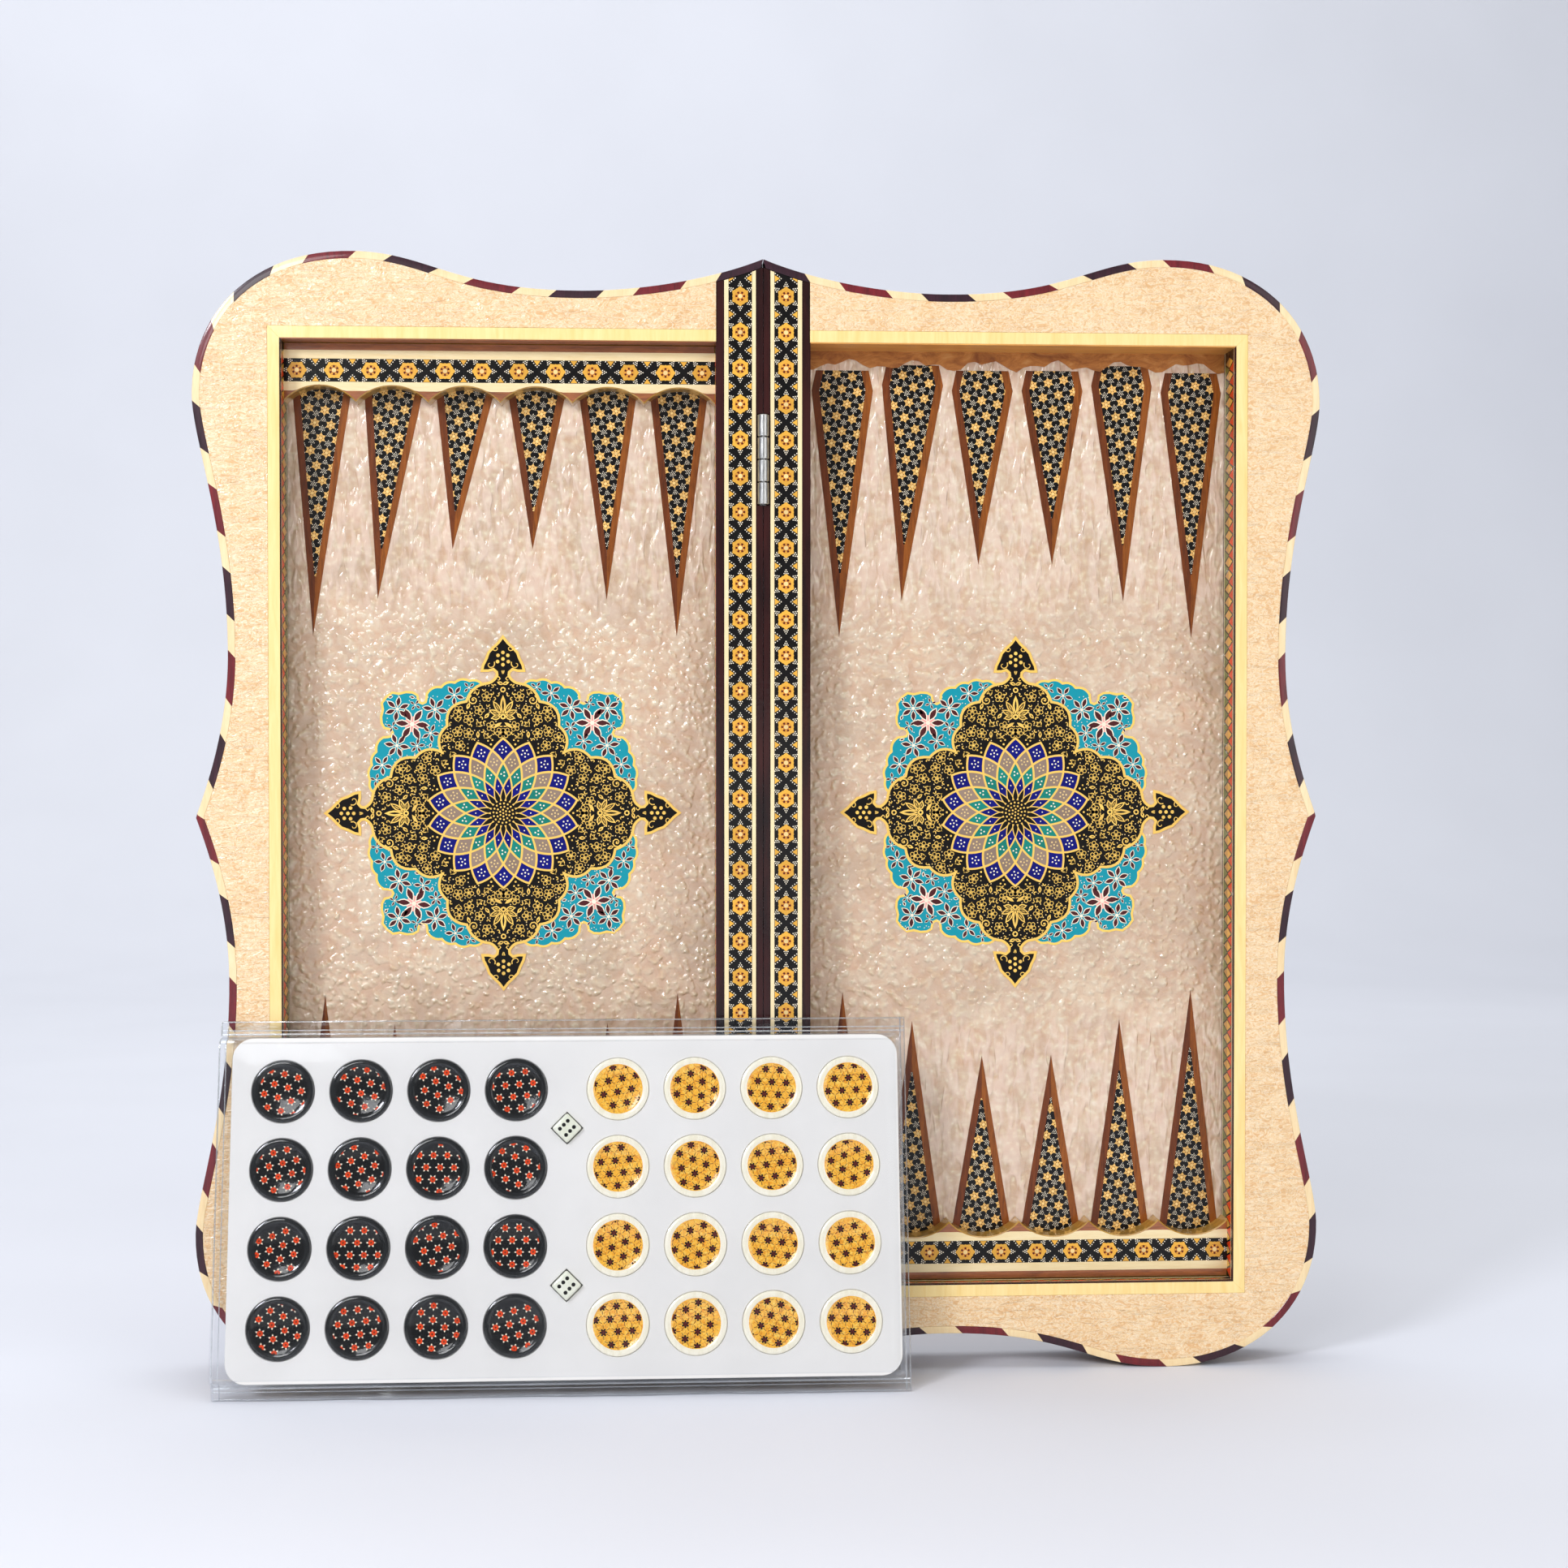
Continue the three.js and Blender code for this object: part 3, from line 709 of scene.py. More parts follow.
def lacquers():
    lacquer("maroon", (58, 20, 18), (28, 10, 11), coat=0.35, gloss=0.15)
    lacquer("jet", (18, 15, 14), (11, 10, 9), size=3, coat=0.25, gloss=0.15)
    lacquer("disc_black", (12, 12, 13), (7, 7, 8), size=3, roughness=0.06, coat=0.6, gloss=0.15)
    lacquer("checker_black", (18, 20, 22), (11, 12, 14), size=3, roughness=0.12, gloss=0.15)
    lacquer("checker_cream", (252, 246, 226), (246, 238, 210), size=3)
    lacquer("ivory", (240, 240, 222), (228, 230, 206), size=3, roughness=0.25)


def enamels():
    enamel("gold", (232, 172, 62))
    enamel("old_gold", (206, 150, 70))
    enamel("rust", (200, 120, 44))
    enamel("pale_gold", (240, 208, 138))
    enamel("small_gold", (232, 184, 104))
    enamel("cream", (250, 238, 212), spread=0.06)
    enamel("brown", (84, 34, 20), gloss=0.2)
    enamel("gilt", (246, 200, 96), roughness=0.35)
    enamel("ink", (15, 11, 9), coat=0.05, gloss=0.15)
    enamel("turquoise", (6, 148, 164), spread=0.08, gloss=0.2)
    enamel("cobalt", (6, 12, 112), coat=0.05, gloss=0.15)
    enamel("taupe", (146, 124, 108), gloss=0.2)
    enamel("teal", (4, 126, 112), gloss=0.2)
    enamel("plum", (74, 20, 24), gloss=0.2)
    enamel("pink", (244, 168, 158))
    enamel("red", (226, 64, 4), gloss=0.15)
    enamel("oxblood", (84, 22, 12), gloss=0.2)
    enamel("olive", (110, 116, 52))
    enamel("pip", (24, 22, 22), roughness=0.2)


# ---- Inlay -----------------------------------------------------------------------------

LAYER = 0.035  # each level of tiles stands in front of the one below by this much
SMALLEST_TILE = 0.02


class Inlay:
    """Thin tiles laid on a plane that faces forward, cut off at a convex region."""

    def __init__(self, solid, front, region=(), sunk=0.25):
        self.solid = solid
        self.front = front
        self.sunk = sunk
        self.planes = planes_of(region) if region else []

    def lay(self, outline, name, level=1):
        finish = shade(name)
        outline = clipped(outline, self.planes)
        if len(outline) >= 3 and abs(area(outline)) > SMALLEST_TILE:
            self.solid.prism(outline, self.front - level * LAYER, self.front + self.sunk, finish)


STAR_TIPS = [(0, 6.2), (0, -6.2), (4.95, 3.7), (4.95, -3.7), (-4.95, 3.7), (-4.95, -3.7)]


def large_star(lay, draws):
    """A khatam star of the wide strips, about the origin."""
    body = []
    for a in turns(36):
        radius = 3.6 + 0.2 * math.cos(12 * a) + 0.3 * math.cos(6 * (a - math.pi / 2))
        body.append((radius * math.cos(a), 1.12 * radius * math.sin(a)))
    lay(body, "gold", 1)
    lay(dot(0, 0, 2.3, 12), "rust", 2)
    for a in turns(6):
        lay(dot(*polar(0, 0, 1.72, a), 0.5, 6, a), "oxblood", 3)
        lay(dot(*polar(0, 0, 1.75, a + math.pi / 6), 0.42), "gold", 4)
    lay(dot(0, 0, 1.05, 8), "pale_gold", 5)
    for u, v in STAR_TIPS:
        for back, across in dot_rows(3, 0.8, 0.86):
            spot = spun(-back, across, math.atan2(v, u), u, v)
            lay(dot(*spot, 0.3, 5, draws.random()), "cream", 2)


HALF_STAR = [(0.2, 1.5), (0.2, -1.5), (2.4, 0)]
HALF_STAR_DOTS = [(3.0, 0.0), (2.3, 0.75), (2.3, -0.75), (1.35, 1.5), (1.35, -1.5), (0.4, 2.2), (0.4, -2.2)]


def half_star(lay, edge, along, draws):
    """The small triangle between two large stars, on the strip's edge."""
    way = -1 if edge > 0 else 1
    lay([(edge + way * u, along + v) for u, v in HALF_STAR], "gold", 1)
    for u, v in HALF_STAR_DOTS:
        lay(dot(edge + way * u, along + v, 0.3, 5, draws.random()), "cream", 1)


STAR_PITCH = 15.6


def star_strip(inlay, place, half_width, low, high, draws):
    """Large stars along a strip, from low to high. place turns (across, along) into (x, z)."""
    count = round((high - low) / STAR_PITCH)
    pitch = (high - low) / count
    for i in range(count + 1):
        def lay(points, name, level, start=low + i * pitch):
            inlay.lay([place(u, start + v) for u, v in points], name, level)

        large_star(lay, draws)
        for edge in (-half_width, half_width):
            half_star(lay, edge, pitch / 2, draws)


LATTICE = 7.2


def small_stars(inlay, region, draws):
    """The close khatam of the points: a triangular lattice of stars and dot triangles."""
    xs, zs = zip(*region)
    drift = (draws.uniform(0, LATTICE), draws.uniform(0, LATTICE))
    slant = draws.choice((-1, 1)) * math.radians(draws.uniform(8, 14))
    middle = ((min(xs) + max(xs)) / 2, (min(zs) + max(zs)) / 2)
    reach = max(max(zs) - min(zs), max(xs) - min(xs))
    for u, v in lattice(LATTICE, int(reach / LATTICE) + 3, drift):
        x, z = spun(u, v, slant, *middle)
        if max(nx * x + nz * z - limit for nx, nz, limit in inlay.planes) < LATTICE:
            small_star(inlay, x, z, slant, draws)


def small_star(inlay, x, z, turn, draws):
    inlay.lay(star(x, z, 2.45, 1.5, 6, turn + math.pi / 2), "small_gold", 1)
    inlay.lay(dot(x, z, 0.55, 6, turn), "pale_gold", 3)
    for a in turns(6, turn):
        inlay.lay(dot(*polar(x, z, 0.98, a), 0.25, 5), "brown", 2)
        inlay.lay(dot(*polar(x, z, 2.72, a + math.pi / 2), 0.26, 4), "cream", 1)
    for way in (1, -1):
        a = turn + way * math.pi / 6
        middle = polar(x, z, LATTICE * 0.577, a)
        for back, across in dot_rows(4, 0.68, 0.78):
            spot = spun(way * (back - 1.36), across, a, *middle)
            inlay.lay(dot(*spot, 0.26, 4, draws.random()), "cream", 1)


# ---- Rim, banding, border, rail --------------------------------------------------------


def rim_loop(outer_inset, inner_x, inner_z):
    """The C round one tray: the outline drawn in, and back along the mouth."""
    line = inset_outline(outer_inset)
    top = top_edge(line, RIM_X0)
    outer = [(RIM_X0, top)] + [p for p in line if p[0] > RIM_X0] + [(RIM_X0, -top)]
    return outer + [(RIM_X0, -inner_z), (inner_x, -inner_z), (inner_x, inner_z), (RIM_X0, inner_z)]


BORDER_PLAY = 0.06


def rim():
    solid = Solid()
    behind_border = BORDER_DEPTH + GAP
    behind_banding = BANDING_DEPTH + BANDING_GAP
    narrow = BANDING_WIDTH + BANDING_GAP / 6
    face = rim_loop(narrow, BORDER_X + BORDER_PLAY, BORDER_Z + BORDER_PLAY)
    solid.plate(face, [], 0, behind_border, "veneer", EASE)
    solid.plate(rim_loop(narrow, MOUTH_X, MOUTH_Z), [], behind_border, behind_banding, "core")
    solid.plate(rim_loop(0, MOUTH_X, MOUTH_Z), [], behind_banding, FRAME_Y, "side")
    return solid


STRING_FRONTS, STRING_WIDTH = (11.5, 22.5), 1.1


def side_lines():
    """Two pale strings let into the board's side."""
    solid = Solid()
    for y in STRING_FRONTS:
        sections = []
        for outer, inner in zip(OUTLINE, inset_outline(0.6)):
            (ox, oz), (ix, iz) = between(outer, inner, -0.1), inner
            rear = y + STRING_WIDTH
            sections.append([(ox, y, oz), (ox, rear, oz), (ix, rear, iz), (ix, y, iz)])
        solid.loft(sections, "cream_strip")
    return solid


BLOCK_PAIR = 36.5  # one dark block and one cream block
DARK_SHARE = 0.57
BLOCK_SLANT = 3.6
DARK_FINISHES = ["band_dark", "band_maroon"]
# The banding's section: the share of its width from outside, and how far back.
BANDING_SECTION = [(0, BANDING_DEPTH), (0, 0.55), (0.05, 0.18), (0.18, 0), (0.95, 0), (1, 0.12)]
BANDING_SECTION += [(1, BANDING_DEPTH)]


def banding():
    """Cream, maroon and dark blocks round the edge, with slanted joints."""
    outer, inner = np.array(OUTLINE), np.array(inset_outline(BANDING_WIDTH))
    travel = np.concatenate(([0], np.cumsum(np.hypot(*np.diff(outer, axis=0).T))))
    length = travel[-1]
    count = round(length / BLOCK_PAIR)
    pitch = length / count
    joints = [i * pitch for i in range(count + 1)] + [(i + DARK_SHARE) * pitch for i in range(count)]
    stations = sorted({round(s, 4) for s in [*joints, *travel]})

    def at(s, share, y):
        s = min(max(s + BLOCK_SLANT * (share - 0.5), 0), length)
        ends = [[np.interp(s, travel, line[:, k]) for k in (0, 1)] for line in (outer, inner)]
        x, z = between(*ends, share)
        return x, y, z

    finishes = []
    for a, b in zip(stations, stations[1:]):
        pair, share = divmod((a + b) / 2 / pitch, 1)
        finishes.append(DARK_FINISHES[int(pair) % 2] if share < DARK_SHARE else "band_cream")
    solid = Solid()
    solid.loft([[at(s, share, y) for share, y in BANDING_SECTION] for s in stations], finishes)
    return solid


def border():
    """The pale strip round the tray's mouth, mitred at its two corners."""
    solid = Solid()
    for up in (1, -1):
        z1, z2 = up * MOUTH_Z, up * BORDER_Z
        bar = [(RIM_X0, z1), (MOUTH_X, z1), (BORDER_X, z2), (RIM_X0, z2)]
        solid.plate(bar, [], 0, BORDER_DEPTH, "border", EASE)
    post = [(MOUTH_X, MOUTH_Z), (MOUTH_X, -MOUTH_Z), (BORDER_X, -BORDER_Z), (BORDER_X, BORDER_Z)]
    solid.plate(post, [], 0, BORDER_DEPTH, "border", EASE)
    return solid


STRIP_OUTER = 1.9  # cream strip on the khatam's outer side, towards the tray
STRIP_INNER = 1.7


def rail_inlay():
    """The star strip down the rail, between two cream strips."""
    solid = Solid()
    line = inset_outline(BANDING_WIDTH + BANDING_GAP)

    def strip(x0, x1, finish, front=0.0):
        top0, top1 = top_edge(line, x0), top_edge(line, x1)
        corners = [(x0, -top0), (x1, -top1), (x1, top1), (x0, top0)]
        solid.prism(corners, front, INLAY_BACK, finish)
        return corners

    a, b = INLAY_X0 + STRIP_INNER, INLAY_X1 - STRIP_OUTER
    strip(INLAY_X0, a, "cream_rail")
    strip(b, INLAY_X1, "cream_rail")
    inlay = Inlay(solid, 0.05, strip(a, b, "jet", 0.05))
    middle = (a + b) / 2
    reach = top_edge(line, b) - 7.5
    star_strip(inlay, lambda u, v: (middle + u, v), (b - a) / 2, -reach, reach, random.Random(21))
    return solid


# ---- Playing field and points ----------------------------------------------------------

FIELD_STEP = 1.1
PEBBLE = 0.24
BLISTERS = {-1: (159, 27, 4.2), 1: (52, -36, 2.6)}  # one on each half: its x, z and radius


def pebbles(xs, zs, side):
    """How far the lacquer stands out over a grid, from 0 to 1: small rounded bubbles."""
    spots = np.random.default_rng(81 + side).uniform(0.1, 0.9, (64, 64, 3))
    x, z = np.meshgrid(xs, zs)
    drift = 7 * np.sin(x / 31 + 1.3 * side) + 5 * np.sin(z / 47 + x / 60)
    upright = 1 / (1 + np.exp(-(np.abs(z) - 88) / 12))
    u = (x + 0.3 * drift) / (3.3 - 0.9 * upright)
    v = (z + drift) / (2.4 + 3.2 * upright)
    column, row = np.floor(u).astype(int), np.floor(v).astype(int)
    height = np.zeros_like(x)
    for i in (-1, 0, 1):
        for j in (-1, 0, 1):
            spot = spots[(row + i) % 64, (column + j) % 64]
            away = np.hypot(column + j + spot[..., 0] - u, row + i + spot[..., 1] - v)
            bubble = np.clip(1 - (away / 0.78) ** 2, 0, 1) * (0.35 + 0.7 * spot[..., 2])
            height = np.maximum(height, bubble)
    cx, cz, radius = BLISTERS[side]
    away = np.hypot(x - cx, z - cz) / radius
    ring = np.exp(-(((away - 0.8) / 0.2) ** 2))
    return np.where(away < 1.15, 1.6 * ring, height)


def playing_field(side):
    """The tray's floor, a plate whose front is covered with small bubbles."""
    solid = Solid()
    columns, rows = int(FIELD_WIDTH / FIELD_STEP), int(2 * FIELD_Z / FIELD_STEP)
    xs = np.linspace(FIELD_X0, FIELD_X1, columns + 1)
    zs = np.linspace(-FIELD_Z, FIELD_Z, rows + 1)
    front = FIELD_Y - PEBBLE * pebbles(xs, zs, side)
    points = [(x, y, z) for z, line in zip(zs, front) for x, y in zip(xs, line)]
    faces, ring = grid_faces(columns, rows)
    first = len(points)
    points += [(points[k][0], FIELD_BACK, points[k][2]) for k in ring]
    faces += [[a, i, j, b] for (i, a), (j, b) in edges(list(enumerate(ring, first)))]
    faces.append(list(range(first, len(points)))[::-1])
    solid.add(points, faces, "field")
    return solid


POINT_FRONT = FIELD_Y - 0.26
POINT_SUNK = 0.4
POINT_EASE = 0.08
FILL_PROUD = 0.03
POINT_EDGE = 3.399  # of walnut, beside the khatam
FILL_SHARE = 0.76
KINK_SHARE = 0.86  # a kinked point's width at its base


def point(solid, base, tip, half, draws, side, kink=0.0):
    """One long triangle of two walnut strips, filled with close khatam for most of its length.

    A kinked point is a little narrower at its base, and full as far down as the kink.
    """
    (base_x, base_z), (tip_x, tip_z) = base, tip
    up = 1 if base_z > 0 else -1
    base_half = half * (KINK_SHARE if kink else 1)
    for way in (-1, 1):
        outline = [base, (base_x + way * base_half, base_z), tip]
        if kink:
            outline.insert(2, (base_x + way * half, base_z - up * kink))
        # The strip on each point's left, as seen, takes the darker copy of the walnut: painted shade on one
        # side.
        finish = "walnut" if way * side > 0 else "walnut_dark"
        solid.plate(outline, [], POINT_FRONT, FIELD_Y + POINT_SUNK, finish, POINT_EASE)
    reach = abs(base_z - tip_z)
    cut = FILL_SHARE * reach
    cut_half = max(half * (reach - cut) / (reach - kink) - POINT_EDGE, 0.35)
    rows = [(base_x, base_half - POINT_EDGE, 0)]
    if kink:
        rows.append((base_x, half - POINT_EDGE, kink))
    rows.append((base_x + (tip_x - base_x) * FILL_SHARE, cut_half, cut))
    right, left = ([(x + way * wide, base_z - up * depth) for x, wide, depth in rows] for way in (1, -1))
    region = right + left[::-1]
    ground = POINT_FRONT - FILL_PROUD
    solid.prism(region, ground, FIELD_Y, "jet")
    small_stars(Inlay(solid, ground, region, sunk=0.1), region, draws)


POINT_BASES = [196.2, 164.3, 132.5, 100.6, 68.8, 36.9]  # from the far wall to the rail
LONG, MIDDLE = 80.5, 97.0
TOP_SHORT_LEFT, TOP_SHORT_RIGHT, BOTTOM_SHORT = 119.5, 113.5, 110.0
LEANS_LEFT = [4.3, 7.5, 5.9, 2.1, 0.7, 1.1]
LEANS_RIGHT = [0.5, 1.0, 0.1, -1.7, -4.9, -1.4]
UNDER_LEDGE = 191.0
BARE_BASE = 203.0  # where the points end under the right half's missing ledge


def points_of(side):
    """The twelve points of one half, from the far wall to the rail at each end."""
    solid = Solid()
    draws = random.Random(31 if side < 0 else 32)
    short, leans = (TOP_SHORT_LEFT, LEANS_LEFT) if side < 0 else (TOP_SHORT_RIGHT, LEANS_RIGHT)
    for x, lean, tip in zip(POINT_BASES, leans, (LONG, MIDDLE, short, short, MIDDLE, LONG)):
        if side < 0:
            point(solid, (x, UNDER_LEDGE), (x + lean, tip), 13.2, draws, side)
        else:
            base = BARE_BASE + draws.uniform(-2.4, 1.6)
            point(solid, (x, base), (x + lean, tip), 13.9, draws, side, kink=9)
    lengths = (LONG, MIDDLE - 3, BOTTOM_SHORT, BOTTOM_SHORT, MIDDLE - 3, LONG)
    for x, tip in zip(POINT_BASES, lengths):
        point(solid, (x, -UNDER_LEDGE), (x + draws.uniform(-1, 1), -tip), 13.8, draws, side)
    return solid


def bare_band():
    """Old glue and bare wood where the right half's top ledge has come away."""
    solid = Solid()
    draws = random.Random(41)
    outline = [(FIELD_X1, FIELD_Z), (FIELD_X0, FIELD_Z)]
    for x in np.linspace(FIELD_X0, FIELD_X1, 61):
        wave = 1.76 * math.sin(x * 0.2) + 1.04 * math.sin(x * 0.47 + 1)
        outline.append((x, BARE_BASE + 0.5 + wave + draws.uniform(-0.5, 0.5)))
    solid.prism(outline, POINT_FRONT - 0.2, FIELD_Y + 0.2, "glue")
    return solid


# ---- Medallion -------------------------------------------------------------------------

MEDALLION_X, MEDALLION_Z = 116, 1
MEDALLION_FRONT = FIELD_Y - 0.25
MEDALLION_BACK = MEDALLION_FRONT + 0.3
GILT_WIDTH = 1.0
PAINT_SUNK = 0.05
GROUND_LEVEL, EDGE_LEVEL = 7.5, 10  # the quatrefoil's ground and its gilt edge, in layers
LOBE_NODES = [(2.6, 61.9), (6.2, 58.5), (16.4, 50.2), (25.0, 39.2), (27.4, 27.4)]
LOBE_BULGES = [-0.1, 0.17, 0.25, 0.2]
FINIAL = [(2.6, 61.9), (2.8, 63.4), (4.3, 64.7), (6.6, 64.0), (9.4, 64.0), (8.9, 66.4), (7.4, 69.4)]
FINIAL += [(6.4, 72.2), (4.3, 74.4), (2.0, 76.6), (0.0, 79.2)]
PANEL_NODES = [(9.0, 57.6), (15.0, 59.4), (21.6, 58.6), (27.6, 56.6), (34.0, 53.6)]
PANEL_NOTCH = [(34.2, 51.4), (34.6, 49.9), (36.0, 49.2), (37.5, 49.9), (38.0, 51.3), (38.3, 53.0)]
PANEL_CORNER = [(40.4, 54.2), (43.2, 54.4), (46.4, 53.6), (49.4, 54.1), (52.1, 52.1)]
PANEL_INNER = [(24.8, 24.8), (22.4, 36.6), (13.8, 47.6), (6.8, 54.4)]  # under the quatrefoil


def eight_ways(points):
    """A shape in the first octant, and its copies in the others."""
    for swap in (False, True):
        for sx in (1, -1):
            for sz in (1, -1):
                yield [(sx * (z if swap else x), sz * (x if swap else z)) for x, z in points]


def quatrefoil():
    """The dark ground with its four finials, as one outline."""
    half = FINIAL[:0:-1]
    for ends, bulge in zip(zip(LOBE_NODES, LOBE_NODES[1:]), LOBE_BULGES):
        half += scallops(ends, bulge, 7)[:-1]
    half.append(LOBE_NODES[-1])
    octant = half + [(z, x) for x, z in half[-2:0:-1]]
    return [spun(x, z, -turn) for turn in turns(4) for x, z in octant]


def corner_panel():
    """A turquoise corner in the first quadrant."""
    half = scallops(PANEL_NODES, 0.17, 5) + PANEL_NOTCH + PANEL_CORNER
    mirror = [(z, x) for x, z in half[-2::-1]]
    return half + mirror + [(z, x) for x, z in PANEL_INNER[:0:-1]] + PANEL_INNER


def flower(inlay, x, z, radius, petals, turn):
    """Long dark petals edged with a pale line, round a small eye."""
    for a in turns(petals, turn):
        spot = polar(x, z, 0.6 * radius, a)
        inlay.lay(leaf(*spot, radius * 0.92, radius * 0.46, a), "cream", 4)
        inlay.lay(leaf(*spot, radius * 0.76, radius * 0.32, a), "plum", 5)
    inlay.lay(dot(x, z, radius * 0.15), "cream", 6)


# A panel's flowers: x, z, radius and petals. The first, on its diagonal, is on a pink star.
PANEL_FLOWERS = [
    (40.6, 40.0, 6.6, 6), (30.4, 46.6, 4.9, 6), (47.2, 46.8, 4.9, 6), (47.4, 30.4, 4.9, 6),
    (21.8, 53.0, 4.0, 5), (54.0, 21.6, 4.0, 5), (32.4, 36.0, 3.6, 5), (38.4, 30.2, 3.0, 5),
    (15.2, 56.4, 2.5, 4), (56.6, 15.0, 2.5, 4), (39.2, 48.6, 2.3, 4), (49.4, 38.8, 2.3, 4),
]
FLOWER_SWELL = 1.14


def fill_panel(inlay, outline, sx, sz, draws):
    """Flowers, and leaves and dots wherever there is room left."""
    taken = []
    for x, z, radius, petals in PANEL_FLOWERS:
        x, z = (z, x) if sx * sz < 0 else (x, z)
        x, z, radius = sx * x, sz * z, radius * FLOWER_SWELL
        turn = draws.uniform(0, 1)
        if not taken:
            inlay.lay(star(x, z, radius * 0.8, radius * 0.45, petals, turn), "pink", 3)
        flower(inlay, x, z, radius, petals, turn)
        taken.append((x, z, radius * 0.95))
    for _ in range(900):
        x, z = sx * draws.uniform(12, 53), sz * draws.uniform(12, 53)
        if not inside(x, z, outline) or math.hypot(x, z) < 38:
            continue
        if any(math.hypot(x - a, z - b) < r + 0.35 for a, b, r in taken):
            continue
        if draws.random() < 0.12:
            turn = draws.uniform(0, math.pi)
            inlay.lay(leaf(x, z, 2.5, 1.5, turn), "cream", 4)
            inlay.lay(leaf(x, z, 1.8, 0.8, turn), "plum", 5)
            taken.append((x, z, 1.1))
        else:
            inlay.lay(dot(x, z, 0.24, 5), "cream", 4)
            taken.append((x, z, 0.5))


MOTIFS = [  # in the order they are tried: radius, tries and kind
    (2.6, 26, "flower"), (2.1, 60, "frond"), (2.0, 60, "scroll"), (1.45, 200, "leaf"),
    (0.9, 420, "curl"), (0.5, 500, "dot"),
]


def motif(kind, x, z, radius, lay, draw, draws):
    """One small shape of the arabesque."""
    turn = draws.uniform(0, 2 * math.pi)
    if kind == "flower":
        for a in turns(5, turn):
            lay(dot(*polar(x, z, 1.45, a), 0.98, 8), "gilt", 4)
            lay(dot(*polar(x, z, 1.45, a), 0.7, 7), "ink", 5)
        lay(dot(x, z, 0.5), "gilt", 6)
    elif kind == "scroll":
        draw(spiral(x, z, radius * 1.15, turn, draws.choice((-1, 1))), 0.55)
        lay(dot(x, z, 0.45, 5), "gilt", 4)
    elif kind == "frond":
        for k in (-1, 0, 1):
            a = turn + 0.8 * k
            lay(leaf(*polar(x, z, 0.9, a), 3.4 - 0.5 * abs(k), 1.25, a), "gilt", 4)
            lay(leaf(*polar(x, z, 0.9, a), 2.0, 0.4, a), "ink", 5)
    elif kind == "leaf":
        lay(leaf(x, z, 3.2, 1.6, turn), "gilt", 4)
        lay(leaf(*polar(x, z, -0.2, turn), 1.5, 0.5, turn), "ink", 5)
    elif kind == "curl":
        draw(spiral(x, z, radius * 1.2, turn, draws.choice((-1, 1)), 4, 0.6), 0.46)
    else:
        lay(dot(x, z, 0.3, 5), "pale_gold", 4)


def arabesque(solid, front, ground, draws):
    """Gold scrolls, flowers, leaves and dots, the same in all eight octants."""
    inlay = Inlay(solid, front, sunk=PAINT_SUNK)
    taken = [(0, 46.4, 5.2), (0, 55.5, 1.4)]

    def lay(points, name, level):
        for copy in eight_ways(points):
            inlay.lay(copy, name, level)

    def draw(points, width):
        for copy in eight_ways(points):
            solid.ribbon(copy, width, front - 4 * LAYER, front + PAINT_SUNK, shade("gilt"), taper=0.5)

    def free(x, z, radius):
        clear = all(math.hypot(x - a, z - b) > radius + r for a, b, r in taken)
        fits = all(inside(*polar(x, z, 0.8 * radius, a), ground) for a in (0.4, 1.9, 3.5, 5.0))
        return clear and fits and math.hypot(x, z) > 33.9 + radius * 0.4

    for radius, tries, kind in MOTIFS:
        for _ in range(tries):
            angle = draws.uniform(0, math.pi / 4)
            x, z = clock(draws.uniform(34, 64), angle)
            if free(x, z, radius):
                taken.append((x, z, radius * 0.88))
                motif(kind, x, z, radius, lay, draw, draws)


LOTUS = [(1.75, 4.4, 3.2), (1.15, 6.0, 4.0), (0.58, 7.2, 4.7)]  # lean, length, reach
FINIAL_DOTS = [(0, 69.3), (-2.4, 68.1), (2.4, 68.1), (-2.2, 70.9), (2.2, 70.9), (0, 66.7), (0, 72.2)]
FINIAL_SCROLLS = [  # each one's x, z, radius, turn and hand, and the line's width
    (5.7, 66.9, 2.2, 2.6, 1, 0.5), (3.2, 74.2, 1.7, 0.4, -1, 0.45), (2.2, 60.2, 1.5, 0.2, 1, 0.45),
]


def palmette(lay):
    """The larger flower between rosette and finial, and the finial's dots."""
    upright = math.pi / 2
    for lean, length, reach in LOTUS:
        for side in (-1, 1):
            a = upright + side * lean
            spot = polar(0, 43.6, reach, a)
            lay(leaf(*spot, length, 2.5, a), "gilt", 8)
            lay(leaf(*spot, length * 0.7, 1.3, a), "ink", 9)
            lay(leaf(*spot, length * 0.4, 0.4, a), "gilt", 10)
    lay(leaf(0, 48.8, 8.6, 2.6, upright), "gilt", 10.5)
    lay(leaf(0, 48.4, 5.4, 0.9, upright), "ink", 11)
    lay(dot(0, 43.4, 1.3, 8), "gilt", 11)
    lay(dot(0, 43.4, 0.6), "ink", 12)
    for side in (-1, 1):
        lay(leaf(side * 2.4, 39.6, 4.2, 1.5, upright + side), "gilt", 8)
    lay(dot(0, 55.5, 1.3, 7), "gilt", 8)
    lay(dot(0, 55.5, 0.7), "ink", 9)
    for u, v in FINIAL_DOTS:
        lay(dot(u, v, 0.85, 7), "gilt", 8)


def axis_palmettes(solid, front):
    """A palmette and its finial's scrolls on each of the four axes."""
    inlay = Inlay(solid, front, sunk=PAINT_SUNK)
    for axis in turns(4):
        def lay(points, name, level, axis=axis):
            inlay.lay([spun(u, v, axis) for u, v in points], name, level)

        palmette(lay)
        for side in (-1, 1):
            for k, (*curl, width) in enumerate(FINIAL_SCROLLS):
                line = [spun(side * u, v, axis) for u, v in spiral(*curl, 8, 0.8)]
                solid.ribbon(line, width, front - 8 * LAYER, front + PAINT_SUNK, f"gilt.{k}", taper=0.5)


